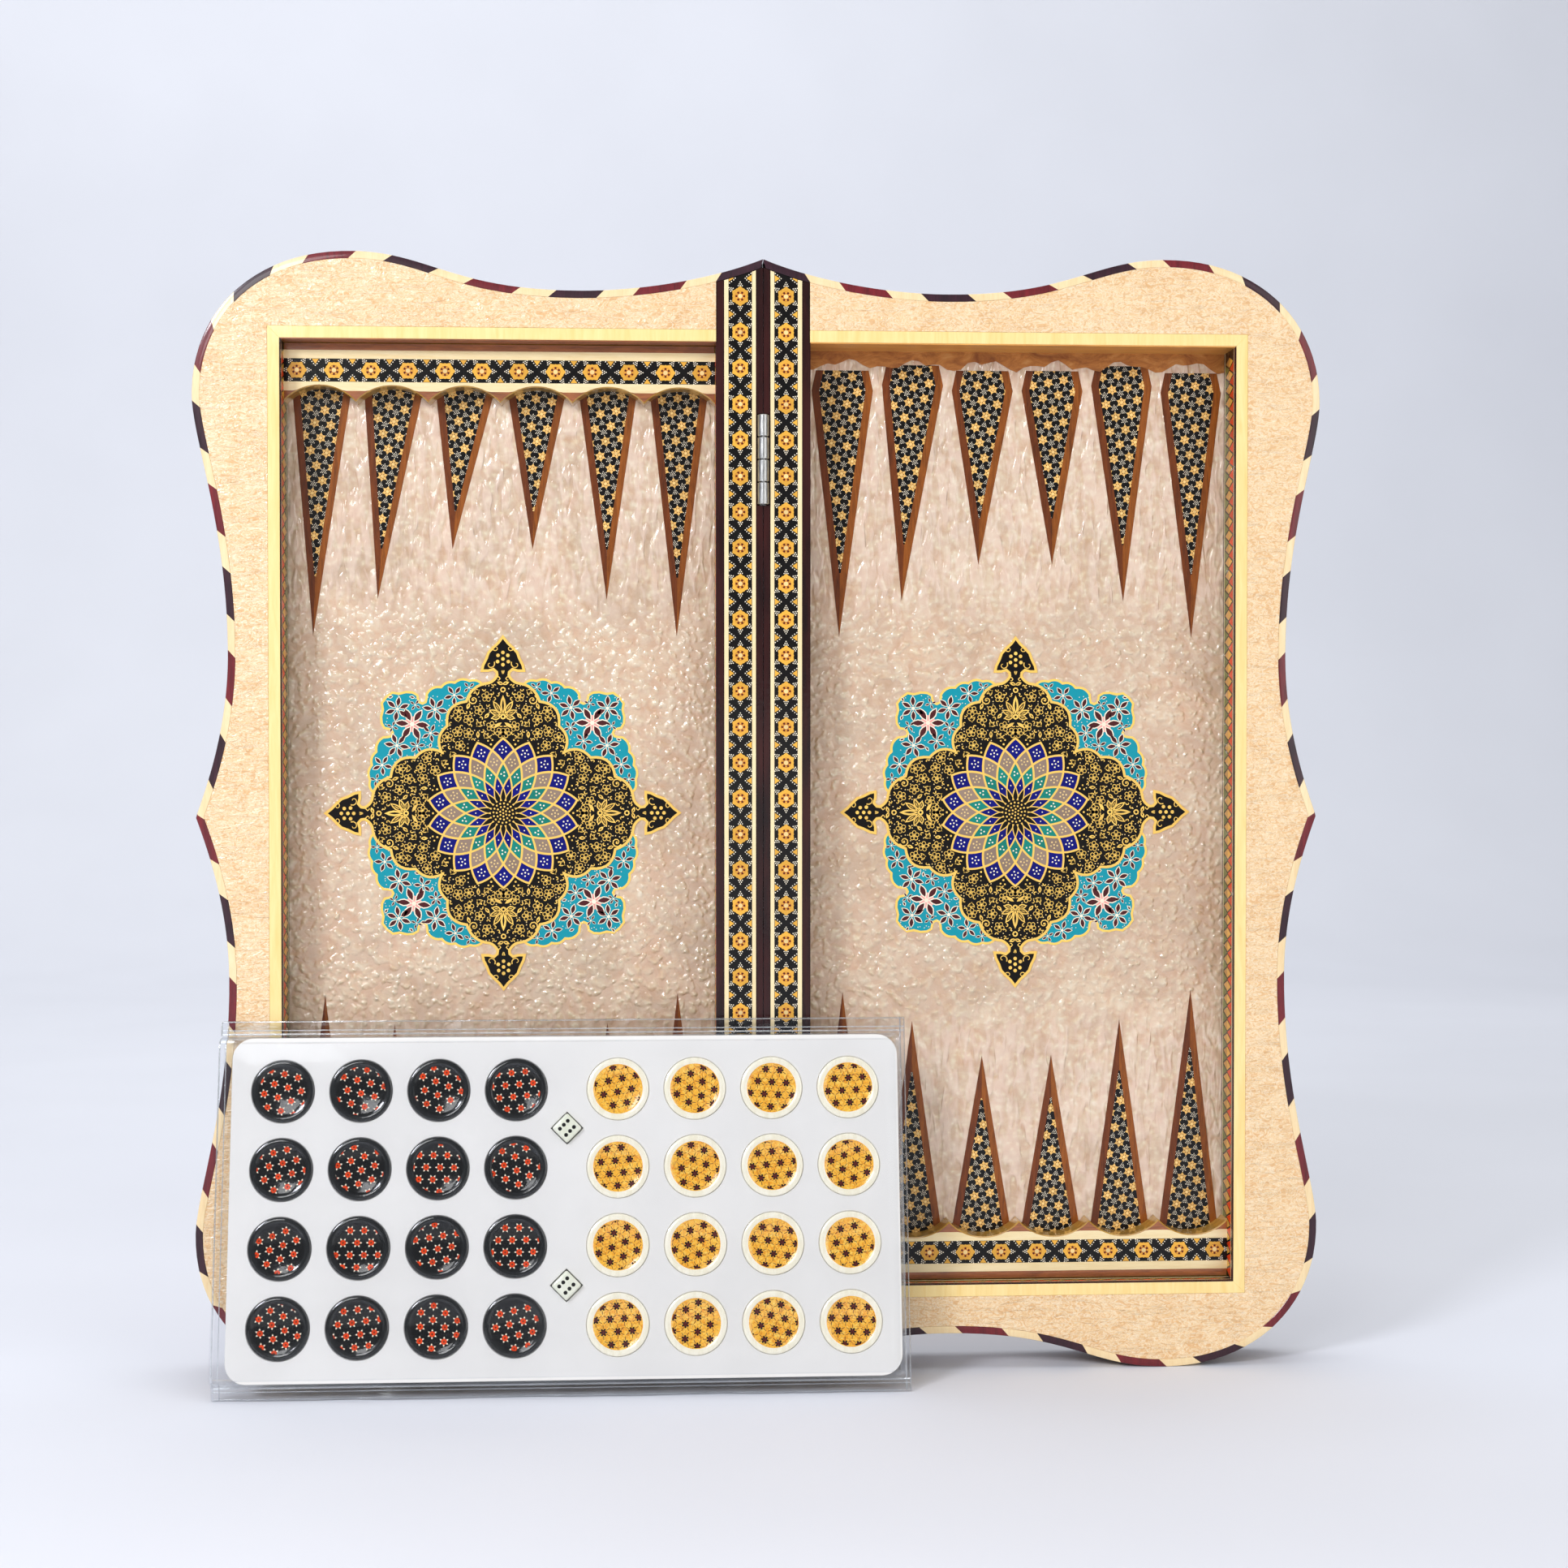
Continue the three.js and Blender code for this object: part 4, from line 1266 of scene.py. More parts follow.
PETALS = 18
PETAL_STEP = 2 * math.pi / PETALS
RING_RADII = [33.7, 28.7, 22.8, 16.8, 11.4, 6.8, 3.4]
CORE_RADIUS = 5.6
PETAL_LINES = [0.5, 0.48, 0.42, 0.32, 0.14]  # half the width of the gold between petals, by ring
SWING = np.polyfit(RING_RADII, [i / 2 for i in range(len(RING_RADII))], 3)


def petal_swing(radius):
    """How many petal steps a gold curve has swung from its tip, at some radius."""
    return float(np.polyval(SWING, radius))


def swung(start, end, offset_of, steps=4):
    """Points of a gold curve from one radius to another, without its end."""
    return [(r, offset_of(petal_swing(r))) for r in np.linspace(start, end, steps, endpoint=False)]


def kite(ring, angle, shrink):
    """The field between two pairs of gold curves, whose outer tip lies on a ring."""
    outer, sides, inner = RING_RADII[ring : ring + 3]
    half = swung(outer, sides, lambda swing: swing - petal_swing(outer))
    half += swung(sides, inner, lambda swing: 0.5 - swing + petal_swing(sides))
    whole = half + [(inner, 0.0)] + [(r, -swing) for r, swing in half[:0:-1]]
    outline = [clock(r, angle + swing * PETAL_STEP) for r, swing in whole]
    return offset(outline, shrink if area(outline) < 0 else -shrink, closed=True)


ROSETTE_ROWS = [  # each ring's colour, its turn in steps, and its beads: radius, spread, colour, count
    ("cobalt", 0.0, 28.6, 1.55, "cream", 5),
    ("taupe", 0.5, 23.2, 1.5, "pale_gold", 5),
    ("teal", 0.0, 17.6, 0.9, "cream", 3),
    ("cobalt", 0.5, 12.3, 0.0, "cream", 1),
    ("ink", 0.0, 7.9, 0.0, "gold", 0),
]
EDGE_DOTS = [(31.4, 0, 0.5), (33.2, -0.03, 0.42), (33.2, 0.03, 0.42)]  # radius, angle, size
EYE_DOTS = [(0, 1), (1.5, 6), (2.9, 11), (4.4, 16)]  # rings of dots: radius and count


def rosette(solid, front):
    """Rings of interlocked petals that open from a dark, dotted eye."""
    lay = Inlay(solid, front, sunk=PAINT_SUNK).lay

    def beads(middle, angle, spread, name, count):
        size = 0.4 if count > 1 else 0.3
        for a in turns(count, angle):
            lay(dot(*polar(*middle, spread, a), size), name, 12)
        if count > 3:
            lay(dot(*middle, size), name, 12)

    tip, valley = RING_RADII[:2]
    petal = [(tip, 0.0)] + swung(tip, valley, lambda swing: swing)[1:]
    petal += swung(valley, tip, lambda swing: 1 - swing)
    edge = [clock(r + 0.55, (k + swing) * PETAL_STEP) for k in range(PETALS) for r, swing in petal]
    lay(edge, "gilt.1", 9)
    for ring, (name, shift, radius, spread, bead, count) in enumerate(ROSETTE_ROWS):
        for angle in turns(PETALS, shift * PETAL_STEP):
            lay(kite(ring, angle, PETAL_LINES[ring]), name, 10)
            beads(clock(radius, angle), angle, spread, bead, count)
    for angle in turns(PETALS, PETAL_STEP / 2):
        for radius, aside, size in EDGE_DOTS:
            lay(dot(*clock(radius, angle + aside), size), "gilt", 12)
    lay(dot(0, 0, CORE_RADIUS, 20), "ink.0", 12)
    for radius, count in EYE_DOTS:
        for a in turns(count, radius):
            lay(dot(*polar(0, 0, radius, a), 0.45), "gilt", 13)


def medallion():
    """A painted medallion, drawn round the origin and moved to its place on the field."""
    solid = Solid()
    front, rear = MEDALLION_FRONT, MEDALLION_BACK
    draws = random.Random(91)
    ground, panel = quatrefoil(), corner_panel()
    for sx in (1, -1):
        for sz in (1, -1):
            outline = [(sx * x, sz * z) for x, z in panel]
            solid.prism(outline, front - LAYER, rear, "turquoise.1")
            solid.ribbon(outline, GILT_WIDTH, front - 2 * LAYER, rear, "gilt.2", closed=True)
            fill_panel(Inlay(solid, front, sunk=PAINT_SUNK), outline, sx, sz, draws)
    solid.prism(ground, front - GROUND_LEVEL * LAYER, rear, "ink.0")
    solid.ribbon(ground, GILT_WIDTH * 1.15, front - EDGE_LEVEL * LAYER, rear, "gilt.1", closed=True)
    arabesque(solid, front - 4.5 * LAYER, ground, draws)
    axis_palmettes(solid, front - 4 * LAYER)
    rosette(solid, front)
    solid.points = [(x + MEDALLION_X, y, z + MEDALLION_Z) for x, y, z in solid.points]
    return solid


# ---- Ledges and wall linings -----------------------------------------------------------

ARCHES = 6
CROWN, ARCH_CUSP = 19.5, 26.5  # from the wall to the arches' highest points, and to their tips
CREAM_START = 3.8
KHATAM_START = CREAM_START + 3.75
KHATAM_WIDTH = 10.2
KHATAM_END = KHATAM_START + KHATAM_WIDTH
LAST_STRIP = 4.0


def arch_depth(x):
    """How far from the wall the ledge reaches at x."""
    width = FIELD_WIDTH / ARCHES
    rise = ARCH_CUSP - CROWN
    radius = ((width / 2) ** 2 + rise**2) / (2 * rise)
    across = (x - FIELD_X0) % width - width / 2
    return CROWN + radius - math.sqrt(radius**2 - across**2)


def ledge(up):
    """A bar over the points' bases, with strips along it and arches below."""
    solid = Solid()
    front = LEDGE_Y0 - 0.06

    def band(start, end, inset):
        """Between two depths from the wall, and inset from the arches."""
        xs = np.linspace(FIELD_X0, FIELD_X1, 16 * ARCHES + 1)
        lower = [(x, up * (MOUTH_Z - min(end, arch_depth(x) - inset))) for x in xs]
        return [(FIELD_X1, up * (MOUTH_Z - start)), (FIELD_X0, up * (MOUTH_Z - start))] + lower

    def strip(start, end, finish):
        solid.prism(band(start, end, 0.5), front, LEDGE_Y0 + 1, finish)

    solid.plate(band(GAP, ARCH_CUSP, 0), [], LEDGE_Y0, LEDGE_Y1, "ledge", 0.5, "arch_edge")
    strip(CREAM_START, KHATAM_START, "cream_strip")
    strip(KHATAM_START, KHATAM_END, "jet")
    strip(KHATAM_END, KHATAM_END + LAST_STRIP, "cream_strip")
    z0, z1 = up * (MOUTH_Z - KHATAM_START), up * (MOUTH_Z - KHATAM_END)
    inlay = Inlay(solid, front, [(FIELD_X0, z0), (FIELD_X1, z0), (FIELD_X1, z1), (FIELD_X0, z1)])
    low, high = FIELD_X0 + 6, FIELD_X1 - 6
    star_strip(inlay, lambda u, v: (v, (z0 + z1) / 2 + u), KHATAM_WIDTH / 2, low, high, random.Random(51))
    return solid


LINING = 0.5
LOZENGE = 6.0


def lining_wall(solid, place, length, depth):
    """A thin khatam lining. place turns (along, back, out) into x, y and z."""
    def tile(points, finish, thick=LINING):
        solid.loft([[place(a, b, out) for a, b in points] for out in (0, thick)], finish)

    def band(b0, b1, finish, thick=LINING):
        tile([(0, b0), (length, b0), (length, b1), (0, b1)], finish, thick)

    first, last = 2.4, depth - 1.6
    band(0.1, first, "maroon")
    band(first, first + 0.8, "cream_rail")
    band(first + 0.8, last - 0.8, "jet", LINING * 0.9)
    band(last - 0.8, last, "cream_rail")
    band(last, depth, "maroon")
    low, high = first + 1.2, last - 1.2
    middle = (low + high) / 2
    for i in range(int(length / LOZENGE) if high - low > 2 else 0):
        a = (i + 0.5) * LOZENGE
        tile([(a - 2.4, low), (a + 2.4, low), (a, middle - 0.3)], shade("red"))
        tile([(a - 2.4, high), (a + 2.4, high), (a, middle + 0.3)], shade("olive"))
        tile([(a + 0.7, middle), (a + 3, low + 1.2), (a + 5.3, middle)], shade("gold"))
        tile([(a + 0.7, middle), (a + 5.3, middle), (a + 3, high - 1.2)], shade("old_gold"))


def linings(side):
    """Linings of the three walls and the rail's flank, inside one tray."""
    solid = Solid()
    tall = 2 * FIELD_Z
    deep, shallow = FIELD_Y - 0.1, LEDGE_Y0 - 0.2
    lining_wall(solid, lambda a, b, t: (MOUTH_X - t, b, a - FIELD_Z), tall, deep)
    lining_wall(solid, lambda a, b, t: (RAIL_X + t, b, a - FIELD_Z), tall, deep)
    lining_wall(solid, lambda a, b, t: (a + FIELD_X0, b, t - MOUTH_Z), FIELD_WIDTH, shallow)
    # The right half's bare top wall takes the lighter ochre: painted light on a wall that faces down and
    # lies in shade.
    top, finish = (shallow, "ledge") if side < 0 else (deep, "ochre")
    solid.block(FIELD_X0, FIELD_X1, 0.3, top, MOUTH_Z - LINING, MOUTH_Z, finish)
    return solid


# ---- Back and hinges -------------------------------------------------------------------


def inner_line(distance):
    """A line inside the outline. What would fold over itself at the side's cusp is left out."""
    line = inset_outline(distance)
    upper = [(x, z) for x, z in line[: len(line) // 2] if z > 0.4 and x > 6]
    slope = (upper[-1][0] - upper[-2][0]) / (upper[-1][1] - upper[-2][1])
    meeting = (upper[-1][0] - slope * upper[-1][1], 0.0)
    return upper + [meeting] + [(x, -z) for x, z in reversed(upper)]


BACK_STRINGS = [(9, 1.2, "cream_rail"), (12.5, 3.6, "jet"), (16, 1.2, "cream_rail")]  # inset, width
BACK_SUNK, BACK_PROUD = 0.3, 0.03


def back():
    """The outer face of one half: dark veneer with a pale string set in from the edge."""
    solid = Solid()
    solid.plate(OUTLINE, [], -BACK_Y1, -BACK_Y0, "back", 0.8, "side")
    solid.points = [(x, -y, z) for x, y, z in solid.points]
    for distance, width, finish in BACK_STRINGS:
        solid.ribbon(inner_line(distance), width, BACK_Y1 - BACK_SUNK, BACK_Y1 + BACK_PROUD, finish)
    return solid


STAR_LAYERS = [(46, "cream_rail"), (43, "jet"), (34, "cream_rail"), (32, "side")]


def back_star():
    """A plain eight-pointed star let into the middle of the outer face."""
    solid = Solid()
    for level, (radius, finish) in enumerate(STAR_LAYERS, 1):
        outline = star(MEDALLION_X, 0, radius, radius * 0.72, 8)
        solid.prism(outline, BACK_Y1 - BACK_SUNK, BACK_Y1 + BACK_PROUD * level, finish)
    for a in turns(16, math.pi / 16):
        spot = dot(*polar(MEDALLION_X, 0, 36.5, a), 1.7, 8)
        solid.prism(spot, BACK_Y1 - BACK_SUNK, BACK_Y1 + BACK_PROUD * 3, shade("gold"))
    return solid


KNUCKLES = 4
KNUCKLE_RADIUS = 2.5
KNUCKLE_BORE = 1.5
KNUCKLE_GAP = 0.4
AXIS_PROUD = 0.3
PIN_RADIUS = 1.1
LEAF_THICKNESS = 1.2
LEAF_DEPTH = 18


def on_axis(radius, z, angle):
    """A point about the hinge's upright axis."""
    x, y = polar(0, -AXIS_PROUD, radius, angle)
    return x, y, z


def knuckle(solid, z0, z1, steps=28, ease=0.25):
    """An upright tube with eased ends."""
    inner, outer = KNUCKLE_BORE, KNUCKLE_RADIUS
    profile = [(inner, z0), (outer - ease, z0), (outer, z0 + ease)]
    profile += [(outer, z1 - ease), (outer - ease, z1), (inner, z1)]
    solid.loft([[on_axis(r, z, a) for r, z in profile] for a in turns(steps)], "steel", closed=True)


def hinge_leaf(node, side):
    """A leaf and its two knuckles: the first and third from below, or the others."""
    low, high = board_box(node)
    pitch = (high.z - low.z) / KNUCKLES
    solid = Solid()
    x0, x1 = GAP / 2, GAP / 2 + LEAF_THICKNESS
    solid.block(x0, x1, KNUCKLE_RADIUS + 0.3, LEAF_DEPTH, low.z, high.z, "steel")
    for k in range(0 if side < 0 else 1, KNUCKLES, 2):
        z0 = low.z + k * pitch + KNUCKLE_GAP / 2
        z1 = z0 + pitch - KNUCKLE_GAP
        knuckle(solid, z0, z1)
        solid.block(x0 + 1.5, x1 + 0.4, 0.6, KNUCKLE_RADIUS + 1, z0, z1, "steel")
    return solid.mirrored() if side < 0 else solid


def hinge_pin(node, steps=24, ease=0.2):
    low, high = board_box(node)
    solid = Solid()
    profile = [(PIN_RADIUS - ease, low.z), (PIN_RADIUS, low.z + ease)]
    profile += [(PIN_RADIUS, high.z - ease), (PIN_RADIUS - ease, high.z)]
    solid.loft([[on_axis(r, z, a) for a in turns(steps)] for r, z in profile], "steel")
    return solid


# ---- Playing pieces --------------------------------------------------------------------

DARK = [f"dark_checker_{i:02d}" for i in range(1, 17)]
LIGHT = [f"light_checker_{i:02d}" for i in range(1, 17)]
DICE = ["die_01", "die_02"]
CHECKER_RADIUS = 13.5
CHECKER_THICKNESS = 7.5
CHECKER_RIM = 2.2
CHECKER_DISH = 1.0
CHECKER_FACE = CHECKER_RADIUS - CHECKER_RIM - 0.5
FACE_RINGS = 6
EDGE_DROP = 0.25  # the face's depth below the rim where it starts, before it dishes


def checker(node, finish, disc_finish, decorate, draws):
    """A turned piece with a flat back, and an inlaid face that is sunk into a shallow bowl."""
    centre = tray_place(node)
    r, front, rear = CHECKER_RADIUS, centre.y - CHECKER_THICKNESS / 2, centre.y + CHECKER_THICKNESS / 2
    face = [(CHECKER_FACE * i / FACE_RINGS, front + EDGE_DROP) for i in range(FACE_RINGS + 1)]
    rim_line = [(r - CHECKER_RIM + 0.1, front), (r - 0.8, front), (r - 0.25, front + 0.22)]
    rim_line += [(r, front + 0.8), (r, rear - 0.6), (r - 0.5, rear), (0, rear)]
    finishes = [disc_finish] * FACE_RINGS + [finish] * len(rim_line)
    solid = Solid()
    solid.lathe(face + rim_line, 64, centre.x, centre.z, finishes)
    decorate(solid, centre.x, centre.z, front + EDGE_DROP, draws)
    for i, (x, y, z) in enumerate(solid.points):
        away = math.hypot(x - centre.x, z - centre.z) / CHECKER_FACE
        if away < 1 and y < front + 1:
            solid.points[i] = (x, y + (CHECKER_DISH - EDGE_DROP) * (1 - away**2), z)
    return solid


DISC_RADIUS = 10.5


def disc_places(x, z, pitch, draws):
    """How far a disc's pattern is turned, and the places of its stars."""
    turn = draws.uniform(0, math.pi)
    drift = (draws.uniform(-3, 3), draws.uniform(-3, 3))
    near = [(u, v) for u, v in lattice(pitch, 4, drift) if math.hypot(u, v) < DISC_RADIUS + 1]
    return turn, [spun(u, v, turn, x, z) for u, v in near]


def red_stars(solid, x, z, front, draws):
    inlay = Inlay(solid, front, dot(x, z, DISC_RADIUS, 24))
    turn, places = disc_places(x, z, 6.0, draws)
    for place in places:
        inlay.lay(star(*place, 1.5, 1.12, 6, turn), "red", 1)
        inlay.lay(dot(*place, 0.4), "brown", 2)
        for a in turns(6, turn):
            tip = [(1.36, -0.44), (2.2, 0), (1.36, 0.44)]
            inlay.lay([spun(u, v, a, *place) for u, v in tip], "cream", 2)


def amber_disc(solid, x, z, front, draws):
    inlay = Inlay(solid, front, dot(x, z, DISC_RADIUS, 24))
    turn, places = disc_places(x, z, 6.2, draws)
    for place in places:
        inlay.lay(dot(*place, 1.25, 6, turn), "oxblood", 1)
        for a in turns(6, turn):
            inlay.lay(dot(*polar(*place, 1.25, a), 0.48), "ink", 2)
            line = [(1.5, -0.12), (3.1, -0.12), (3.1, 0.12), (1.5, 0.12)]
            inlay.lay([spun(u, v, a + math.pi / 6, *place) for u, v in line], "brown", 1)


DIE_SIZE = 9.3
DIE_EASE = 0.9
FOUR = [(-1, -1), (-1, 1), (1, -1), (1, 1)]
PIPS = {
    1: [(0, 0)],
    2: [(-1, 1), (1, -1)],
    3: [(-1, 1), (0, 0), (1, -1)],
    4: FOUR,
    5: FOUR + [(0, 0)],
    6: FOUR + [(-1, 0), (1, 0)],
}
PIP_ACROSS, PIP_ALONG, PIP_RADIUS = 1.9, 2.4, 0.86
DIE_FACES = [  # each face's normal, one edge's direction, and its number
    ((0, -1, 0), (1, 0, 0), 6), ((0, 1, 0), (-1, 0, 0), 1), ((1, 0, 0), (0, 1, 0), 3),
    ((-1, 0, 0), (0, -1, 0), 4), ((0, 0, 1), (1, 0, 0), 2), ((0, 0, -1), (1, 0, 0), 5),
]


def die(node):
    """A cube with rounded edges, turned 45 degrees in its pocket, with inlaid pips."""
    solid = Solid()
    cube = bmesh.new()
    bmesh.ops.create_cube(cube, size=DIE_SIZE)
    whole = cube.edges[:] + cube.verts[:]
    bmesh.ops.bevel(cube, geom=whole, offset=DIE_EASE, segments=4, profile=0.5, affect="EDGES")
    solid.add([v.co.copy() for v in cube.verts], [[v.index for v in f.verts] for f in cube.faces], "ivory")
    cube.free()
    for normal, edge, number in DIE_FACES:
        n, u = Vector(normal), Vector(edge)
        v = n.cross(u)
        for a, b in PIPS[number]:
            middle = n * DIE_SIZE / 2 + u * a * PIP_ACROSS + v * b * PIP_ALONG
            ring = [middle + (u * math.cos(k) + v * math.sin(k)) * PIP_RADIUS for k in turns(16)]
            solid.loft([[p + n * proud for p in ring] for proud in (0.03, -0.3)], "pip.0")
    turn, centre = Matrix.Rotation(math.pi / 4, 3, "Y"), tray_place(node)
    solid.points = [tuple(turn @ p + centre) for p in solid.points]
    return solid


# ---- Tray and pouch --------------------------------------------------------------------

TRAY_WIDTH, TRAY_THICKNESS, TRAY_HEIGHT = 290, 9, 147
TRAY_CORNER = 9
POCKET_DEPTH = 7
POCKET_RADIUS = 13.6
DIE_POCKET = 10.0


def rounded(half_x, half_z, radius, steps=8):
    outline = []
    for quarter, (sx, sz) in enumerate(((1, 1), (-1, 1), (-1, -1), (1, -1))):
        corner = (sx * (half_x - radius), sz * (half_z - radius))
        angles = [math.pi / 2 * (quarter + i / steps) for i in range(steps + 1)]
        outline += [polar(*corner, radius, a) for a in angles]
    return outline


def tray():
    solid = Solid()
    outline = rounded(TRAY_WIDTH / 2, TRAY_HEIGHT / 2, TRAY_CORNER)
    sizes = [(DARK + LIGHT, POCKET_RADIUS, 64), (DICE, DIE_POCKET / math.sqrt(2), 4)]
    places = [(tray_place(node), radius, sides) for nodes, radius, sides in sizes for node in nodes]
    holes = [dot(place.x, place.z, radius, sides) for place, radius, sides in places]
    front = -TRAY_THICKNESS / 2
    solid.plate(outline, holes, front, front + POCKET_DEPTH, "foam", 0.25)
    solid.plate(outline, [], front + POCKET_DEPTH, -front, "foam")
    return solid


DICE_HEIGHTS = [tray_place(node).z for node in DICE]
FILM = 0.3
HALF_GAP = 0.16  # between a film's middle and the weld plane
POUCH_LEFT, POUCH_RIGHT = -151.0, 149.1
POUCH_LOW, POUCH_HIGH = -80.4, 81.5
WELD_LOW, WELD_HIGH = -74.4, 74.6  # heights of the two long welds
WELD_RIGHT = 146.0
FRONT_ROOM, BACK_ROOM = -5.05, 5.15
OVER_CHECKERS, OVER_DICE = -0.95, -1.8  # how much further forward the front film stands over them
SHEET_STEP = 2.5


def waves(seed, count, low, high):
    """A smooth random height over x and z, about -1 to 1."""
    draws = random.Random(seed)
    parts = []
    for _ in range(count):
        length, angle = draws.uniform(low, high), draws.uniform(0, math.pi)
        parts.append((*polar(0, 0, 2 * math.pi / length, angle), draws.uniform(0, 6.3)))
    return lambda x, z: sum(math.sin(a * x + b * z + c) for a, b, c in parts) / math.sqrt(count)


slack = waves(71, 7, 26, 90)
flutter = waves(72, 6, 14, 50)


def shut(value, edge, reach):
    """0 at a weld, rising to 1 at some reach inside it."""
    t = min(1, max(0, abs(value - edge) / reach))
    return t * t * (3 - 2 * t)


def front_room(x, z):
    """The front film lies on the tray's edge and stands out over checkers and dice."""
    over = shut(z, WELD_LOW, 13) * shut(z, WELD_HIGH, 13) * shut(x, WELD_RIGHT, 14) * shut(x, POUCH_LEFT, 16)
    tent = max(math.exp(-((x / 17) ** 2) - ((z - spot) / 17) ** 2) for spot in DICE_HEIGHTS)
    return FRONT_ROOM + over * (OVER_CHECKERS - 0.12 * (1 + slack(x, z))) + OVER_DICE * tent


def sheet_y(x, z, way):
    """How far back a film lies. It closes to the weld plane round three sides."""
    if WELD_LOW < z < WELD_HIGH and x < WELD_RIGHT:
        body = shut(z, WELD_LOW, 2.2) * shut(z, WELD_HIGH, 3.0) * shut(x, WELD_RIGHT, 2.4)
        room = front_room(x, z) if way > 0 else BACK_ROOM
        return body * room - way * HALF_GAP
    drop = max(z - WELD_HIGH, WELD_LOW - z, 0)
    wave = flutter(x, z * 0.3) * 0.5 + slack(x, 0) * 0.4
    return -way * HALF_GAP + wave * min(1, drop / 5) * 1.1


def pouch():
    """Two films, each a closed skin of its own thickness."""
    solid = Solid()
    columns = round((POUCH_RIGHT - POUCH_LEFT) / SHEET_STEP)
    rows = round((POUCH_HIGH - POUCH_LOW) / (SHEET_STEP * 0.7))
    faces, ring = grid_faces(columns, rows)
    size = (columns + 1) * (rows + 1)
    faces += [[size + i for i in face[::-1]] for face in faces]
    faces += [[a, b, size + b, size + a] for a, b in edges(ring)]
    for way in (1, -1):
        skin = []
        for z in np.linspace(POUCH_LOW, POUCH_HIGH, rows + 1):
            for x in np.linspace(POUCH_LEFT, POUCH_RIGHT, columns + 1):
                ragged = 0.5 * flutter(z * 0.5, 3) if x == POUCH_LEFT else 0
                skin.append((x + ragged, sheet_y(x, z, way), z))
        points = [(x, y + proud, z) for proud in (-FILM / 2, FILM / 2) for x, y, z in skin]
        solid.add(points, faces, "vinyl")
    return solid


WELD_LINES = [  # each weld's height, and how wide its pressed line is
    (WELD_HIGH + 0.9, 0.8), (WELD_HIGH + 2.6, 0.5), (WELD_LOW - 0.8, 0.8), (WELD_LOW - 2.4, 0.5),
    (POUCH_LOW + 0.5, 0.6), (POUCH_HIGH - 0.5, 0.6),
]
UPRIGHT_LINES = [
    (WELD_RIGHT + 0.9, 0.7), (POUCH_RIGHT - 0.4, 0.5), (POUCH_LEFT + 0.5, 0.7), (POUCH_LEFT + 3.3, 0.5),
]
LINE_INSET = 0.6
LINE_STEPS = 110
LINE_PROUD, LINE_SUNK = 0.22, 0.1


def weld_lines():
    """The pressed lines of the welds and the films' folded edges, as fine clear beads."""
    solid = Solid()
    xs = np.linspace(POUCH_LEFT + LINE_INSET, POUCH_RIGHT - LINE_INSET, LINE_STEPS + 1)
    zs = np.linspace(POUCH_LOW + LINE_INSET, POUCH_HIGH - LINE_INSET, LINE_STEPS + 1)
    lines = [([(x, z) for x in xs], 0, width / 2) for z, width in WELD_LINES]
    lines += [([(x, z) for z in zs], width / 2, 0) for x, width in UPRIGHT_LINES]
    for line, dx, dz in lines:
        sections = []
        for x, z in line:
            y = sheet_y(x, z, 1) - FILM / 2
            low, high = (x - dx, y + LINE_SUNK, z - dz), (x + dx, y + LINE_SUNK, z + dz)
            sections.append([low, (x, y - LINE_PROUD, z), high])
        solid.loft(sections, "film_edge")
    return solid


# ---- The whole set ---------------------------------------------------------------------


def half_of(name, side):
    def put(piece_name, solid, slot, *nodes, sharp=SHARP):
        if side < 0:
            solid.mirrored()
        stands_for = [f"{name}_{node}" for node in nodes]
        make(f"{name}_{piece_name}", solid, f"{name}_half", BOARD, stands_for, sharp)

    put("rim", rim(), "rim_veneer", "frame")
    put("side_strings", side_lines(), "border_strip")
    put("banding_blocks", banding(), "edge_banding", "edge_banding")
    put("border_strips", border(), "border_strip", "border_strip")
    put("rail_khatam", rail_inlay(), "khatam_inlay", "rail_inlay")
    put("field", playing_field(side), "playing_field", "playing_panel", sharp=math.radians(60))
    put("points", points_of(side), "khatam_inlay")
    put("medallion", medallion(), "khatam_inlay")
    put("wall_linings", linings(side), "khatam_inlay")
    put("outer_face", back(), "back_veneer", "back_panel")
    put("outer_star", back_star(), "back_veneer")
    put("lower_ledge", ledge(-1), "ledge_wood", "bottom_ledge")
    if side < 0:
        put("upper_ledge", ledge(1), "ledge_wood", "top_ledge")
    else:
        put("bare_band", bare_band(), "ledge_wood")


def hinges():
    for place in ("upper", "lower"):
        for name, side in (("left", -1), ("right", 1)):
            node = f"{place}_hinge_{name}_leaf"
            leaf_solid = hinge_leaf(node, side)
            make(f"{place}_{name}_leaf", leaf_solid, f"{name}_half", stands_for=[node])
        node = f"{place}_hinge_pin"
        make(f"{place}_pin", hinge_pin(node), "left_half", stands_for=[node])


def rails():
    """The CAD rails stay, with eased edges and dark lacquer."""
    for name in ("left", "right"):
        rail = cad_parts[f"{name}_hinge_rail"]
        rail.data.materials.clear()
        rail.data.materials.append(FINISHES["maroon"])
        ease = rail.modifiers.new("ease", "BEVEL")
        ease.width = 0.4 * MM
        ease.segments = 3
        ease.limit_method = "ANGLE"
        ease.angle_limit = math.radians(40)


def pieces_and_pouch():
    draws = random.Random(101)
    for node in DARK:
        solid = checker(node, "checker_black", "disc_black", red_stars, draws)
        make(f"turned_{node}", solid, "tray", TRAY, [node])
    for node in LIGHT:
        solid = checker(node, "checker_cream", "amber", amber_disc, draws)
        make(f"turned_{node}", solid, "tray", TRAY, [node])
    for node in DICE:
        make(f"rounded_{node}", die(node), "tray", TRAY, [node])
    make("foam_tray", tray(), "tray", TRAY, ["piece_tray"])
    make("vinyl_sleeve", pouch(), "pouch", TRAY, ["pouch"])
    make("vinyl_welds", weld_lines(), "pouch", TRAY)


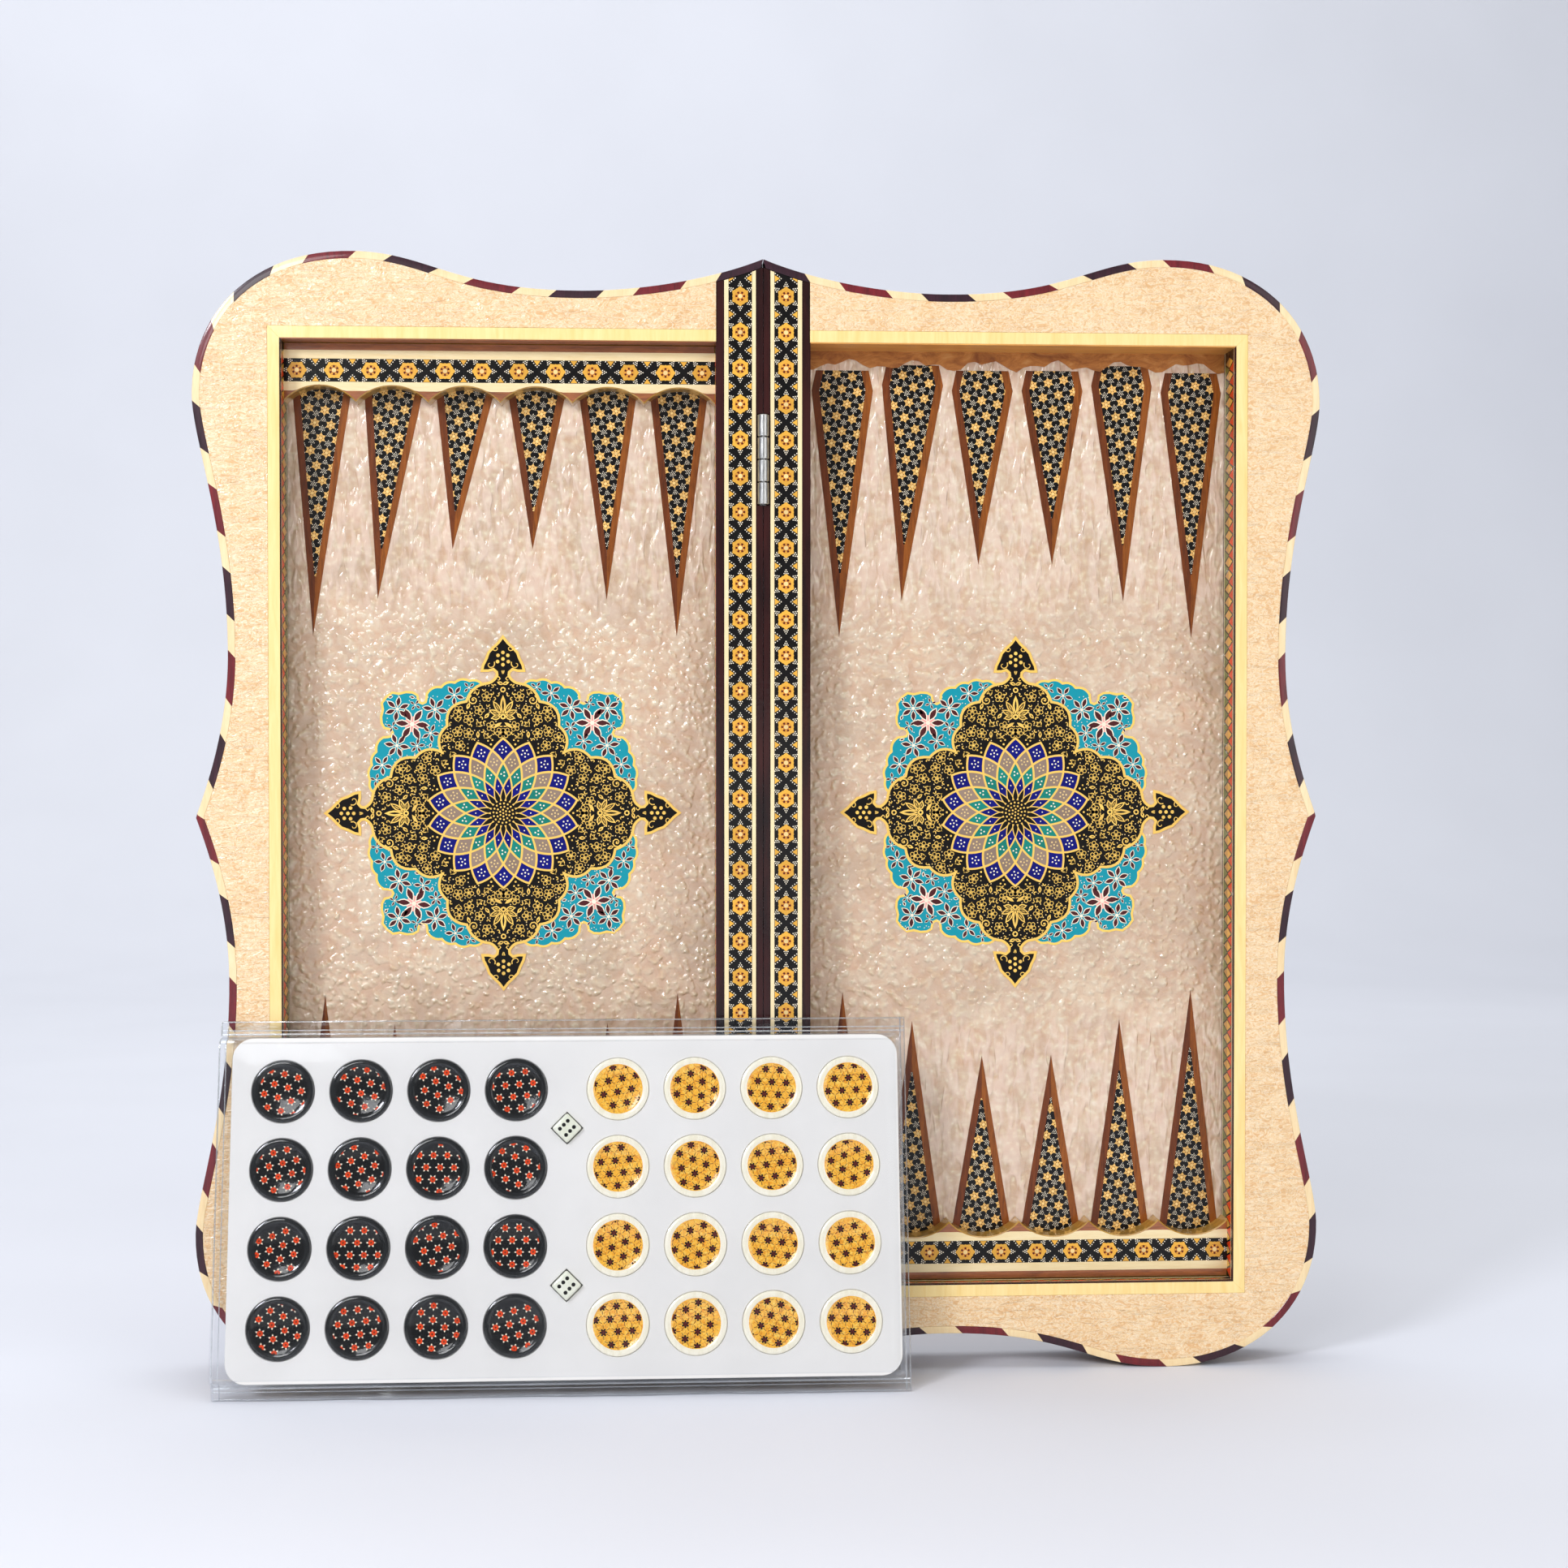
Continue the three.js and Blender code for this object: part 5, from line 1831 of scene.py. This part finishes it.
# ---- Stage, lights, camera, all in metres ----------------------------------------------

SWEEP_BACK, SWEEP_RADIUS = 2.7, 0.9


def backdrop():
    """A pale sheet that runs along the floor and sweeps up behind."""
    profile = [(-3.0, 0.0), (SWEEP_BACK - SWEEP_RADIUS, 0.0)]
    for i in range(1, 13):
        u, v = clock(SWEEP_RADIUS, math.pi / 2 * i / 12)
        profile.append((SWEEP_BACK - SWEEP_RADIUS + u, SWEEP_RADIUS - v))
    profile.append((SWEEP_BACK, 3.4))
    mesh = bpy.data.meshes.new("backdrop")
    points = [(x, y, z) for y, z in profile for x in (-4.0, 4.0)]
    faces = [[2 * i, 2 * i + 1, 2 * i + 3, 2 * i + 2] for i in range(len(profile) - 1)]
    mesh.from_pydata(points, [], faces)
    mesh.polygons.foreach_set("use_smooth", [True] * len(faces))
    drape = bpy.data.objects.new("backdrop", mesh)
    bpy.context.scene.collection.objects.link(drape)
    shader = Shader("backdrop")
    tone = shader.noise(300, 2)
    shader.paint(shader.ramp(tone, (0.3, (222, 224, 231)), (0.7, (226, 228, 235))), 0.85)
    mesh.materials.append(shader.material)


def softbox(name, place, target, size, power, tint=(1, 1, 1)):
    light = bpy.data.lights.new(name, "AREA")
    light.shape = "RECTANGLE"
    light.size, light.size_y = size
    light.energy = power
    light.color = tint
    lamp = bpy.data.objects.new(name, light)
    lamp.location = place
    lamp.rotation_euler = (Vector(target) - Vector(place)).to_track_quat("-Z", "Y").to_euler()
    bpy.context.scene.collection.objects.link(lamp)


def lights():
    middle = (0, 0, 0.25)
    softbox("key", (-1.35, -1.7, 1.35), middle, (0.5, 0.5), 28, (0.95, 0.97, 1.05))
    softbox("window", (-0.62, -1.75, 1.0), (-0.1, 0, 0.35), (0.4, 0.5), 5)
    softbox("fill", (1.6, -1.9, 0.9), middle, (1.6, 1.4), 12.5, (1, 0.98, 0.95))
    softbox("overhead", (0, -0.1, 2.3), (0, 0.1, 0), (2.2, 1.4), 18)
    softbox("wash", (-0.7, 1.2, 2.6), (-0.4, 2.7, 0.5), (3.6, 0.8), 33)
    softbox("card", (0, -2.6, 0.17), (0, 0, 0.2), (3.0, 0.34), 2.2)
    world = bpy.data.worlds.new("studio")
    world.use_nodes = True
    world.node_tree.nodes["Background"].inputs["Color"].default_value = (0.93, 0.96, 1.0, 1)
    world.node_tree.nodes["Background"].inputs["Strength"].default_value = 0.36
    bpy.context.scene.world = world
    bpy.context.scene.view_settings.view_transform = "Standard"


def camera():
    data = bpy.data.cameras.new("camera")
    data.lens = 57.2
    data.sensor_width = 36
    eye = bpy.data.objects.new("camera", data)
    eye.location = (-0.0556, -1.1, 0.284)
    eye.rotation_euler = (math.radians(90 - 1.11), 0, math.radians(-3.36))
    bpy.context.scene.collection.objects.link(eye)
    bpy.context.scene.camera = eye


single_materials()
woods()
lacquers()
enamels()
half_of("left", -1)
half_of("right", 1)
rails()
hinges()
pieces_and_pouch()
backdrop()
lights()
camera()
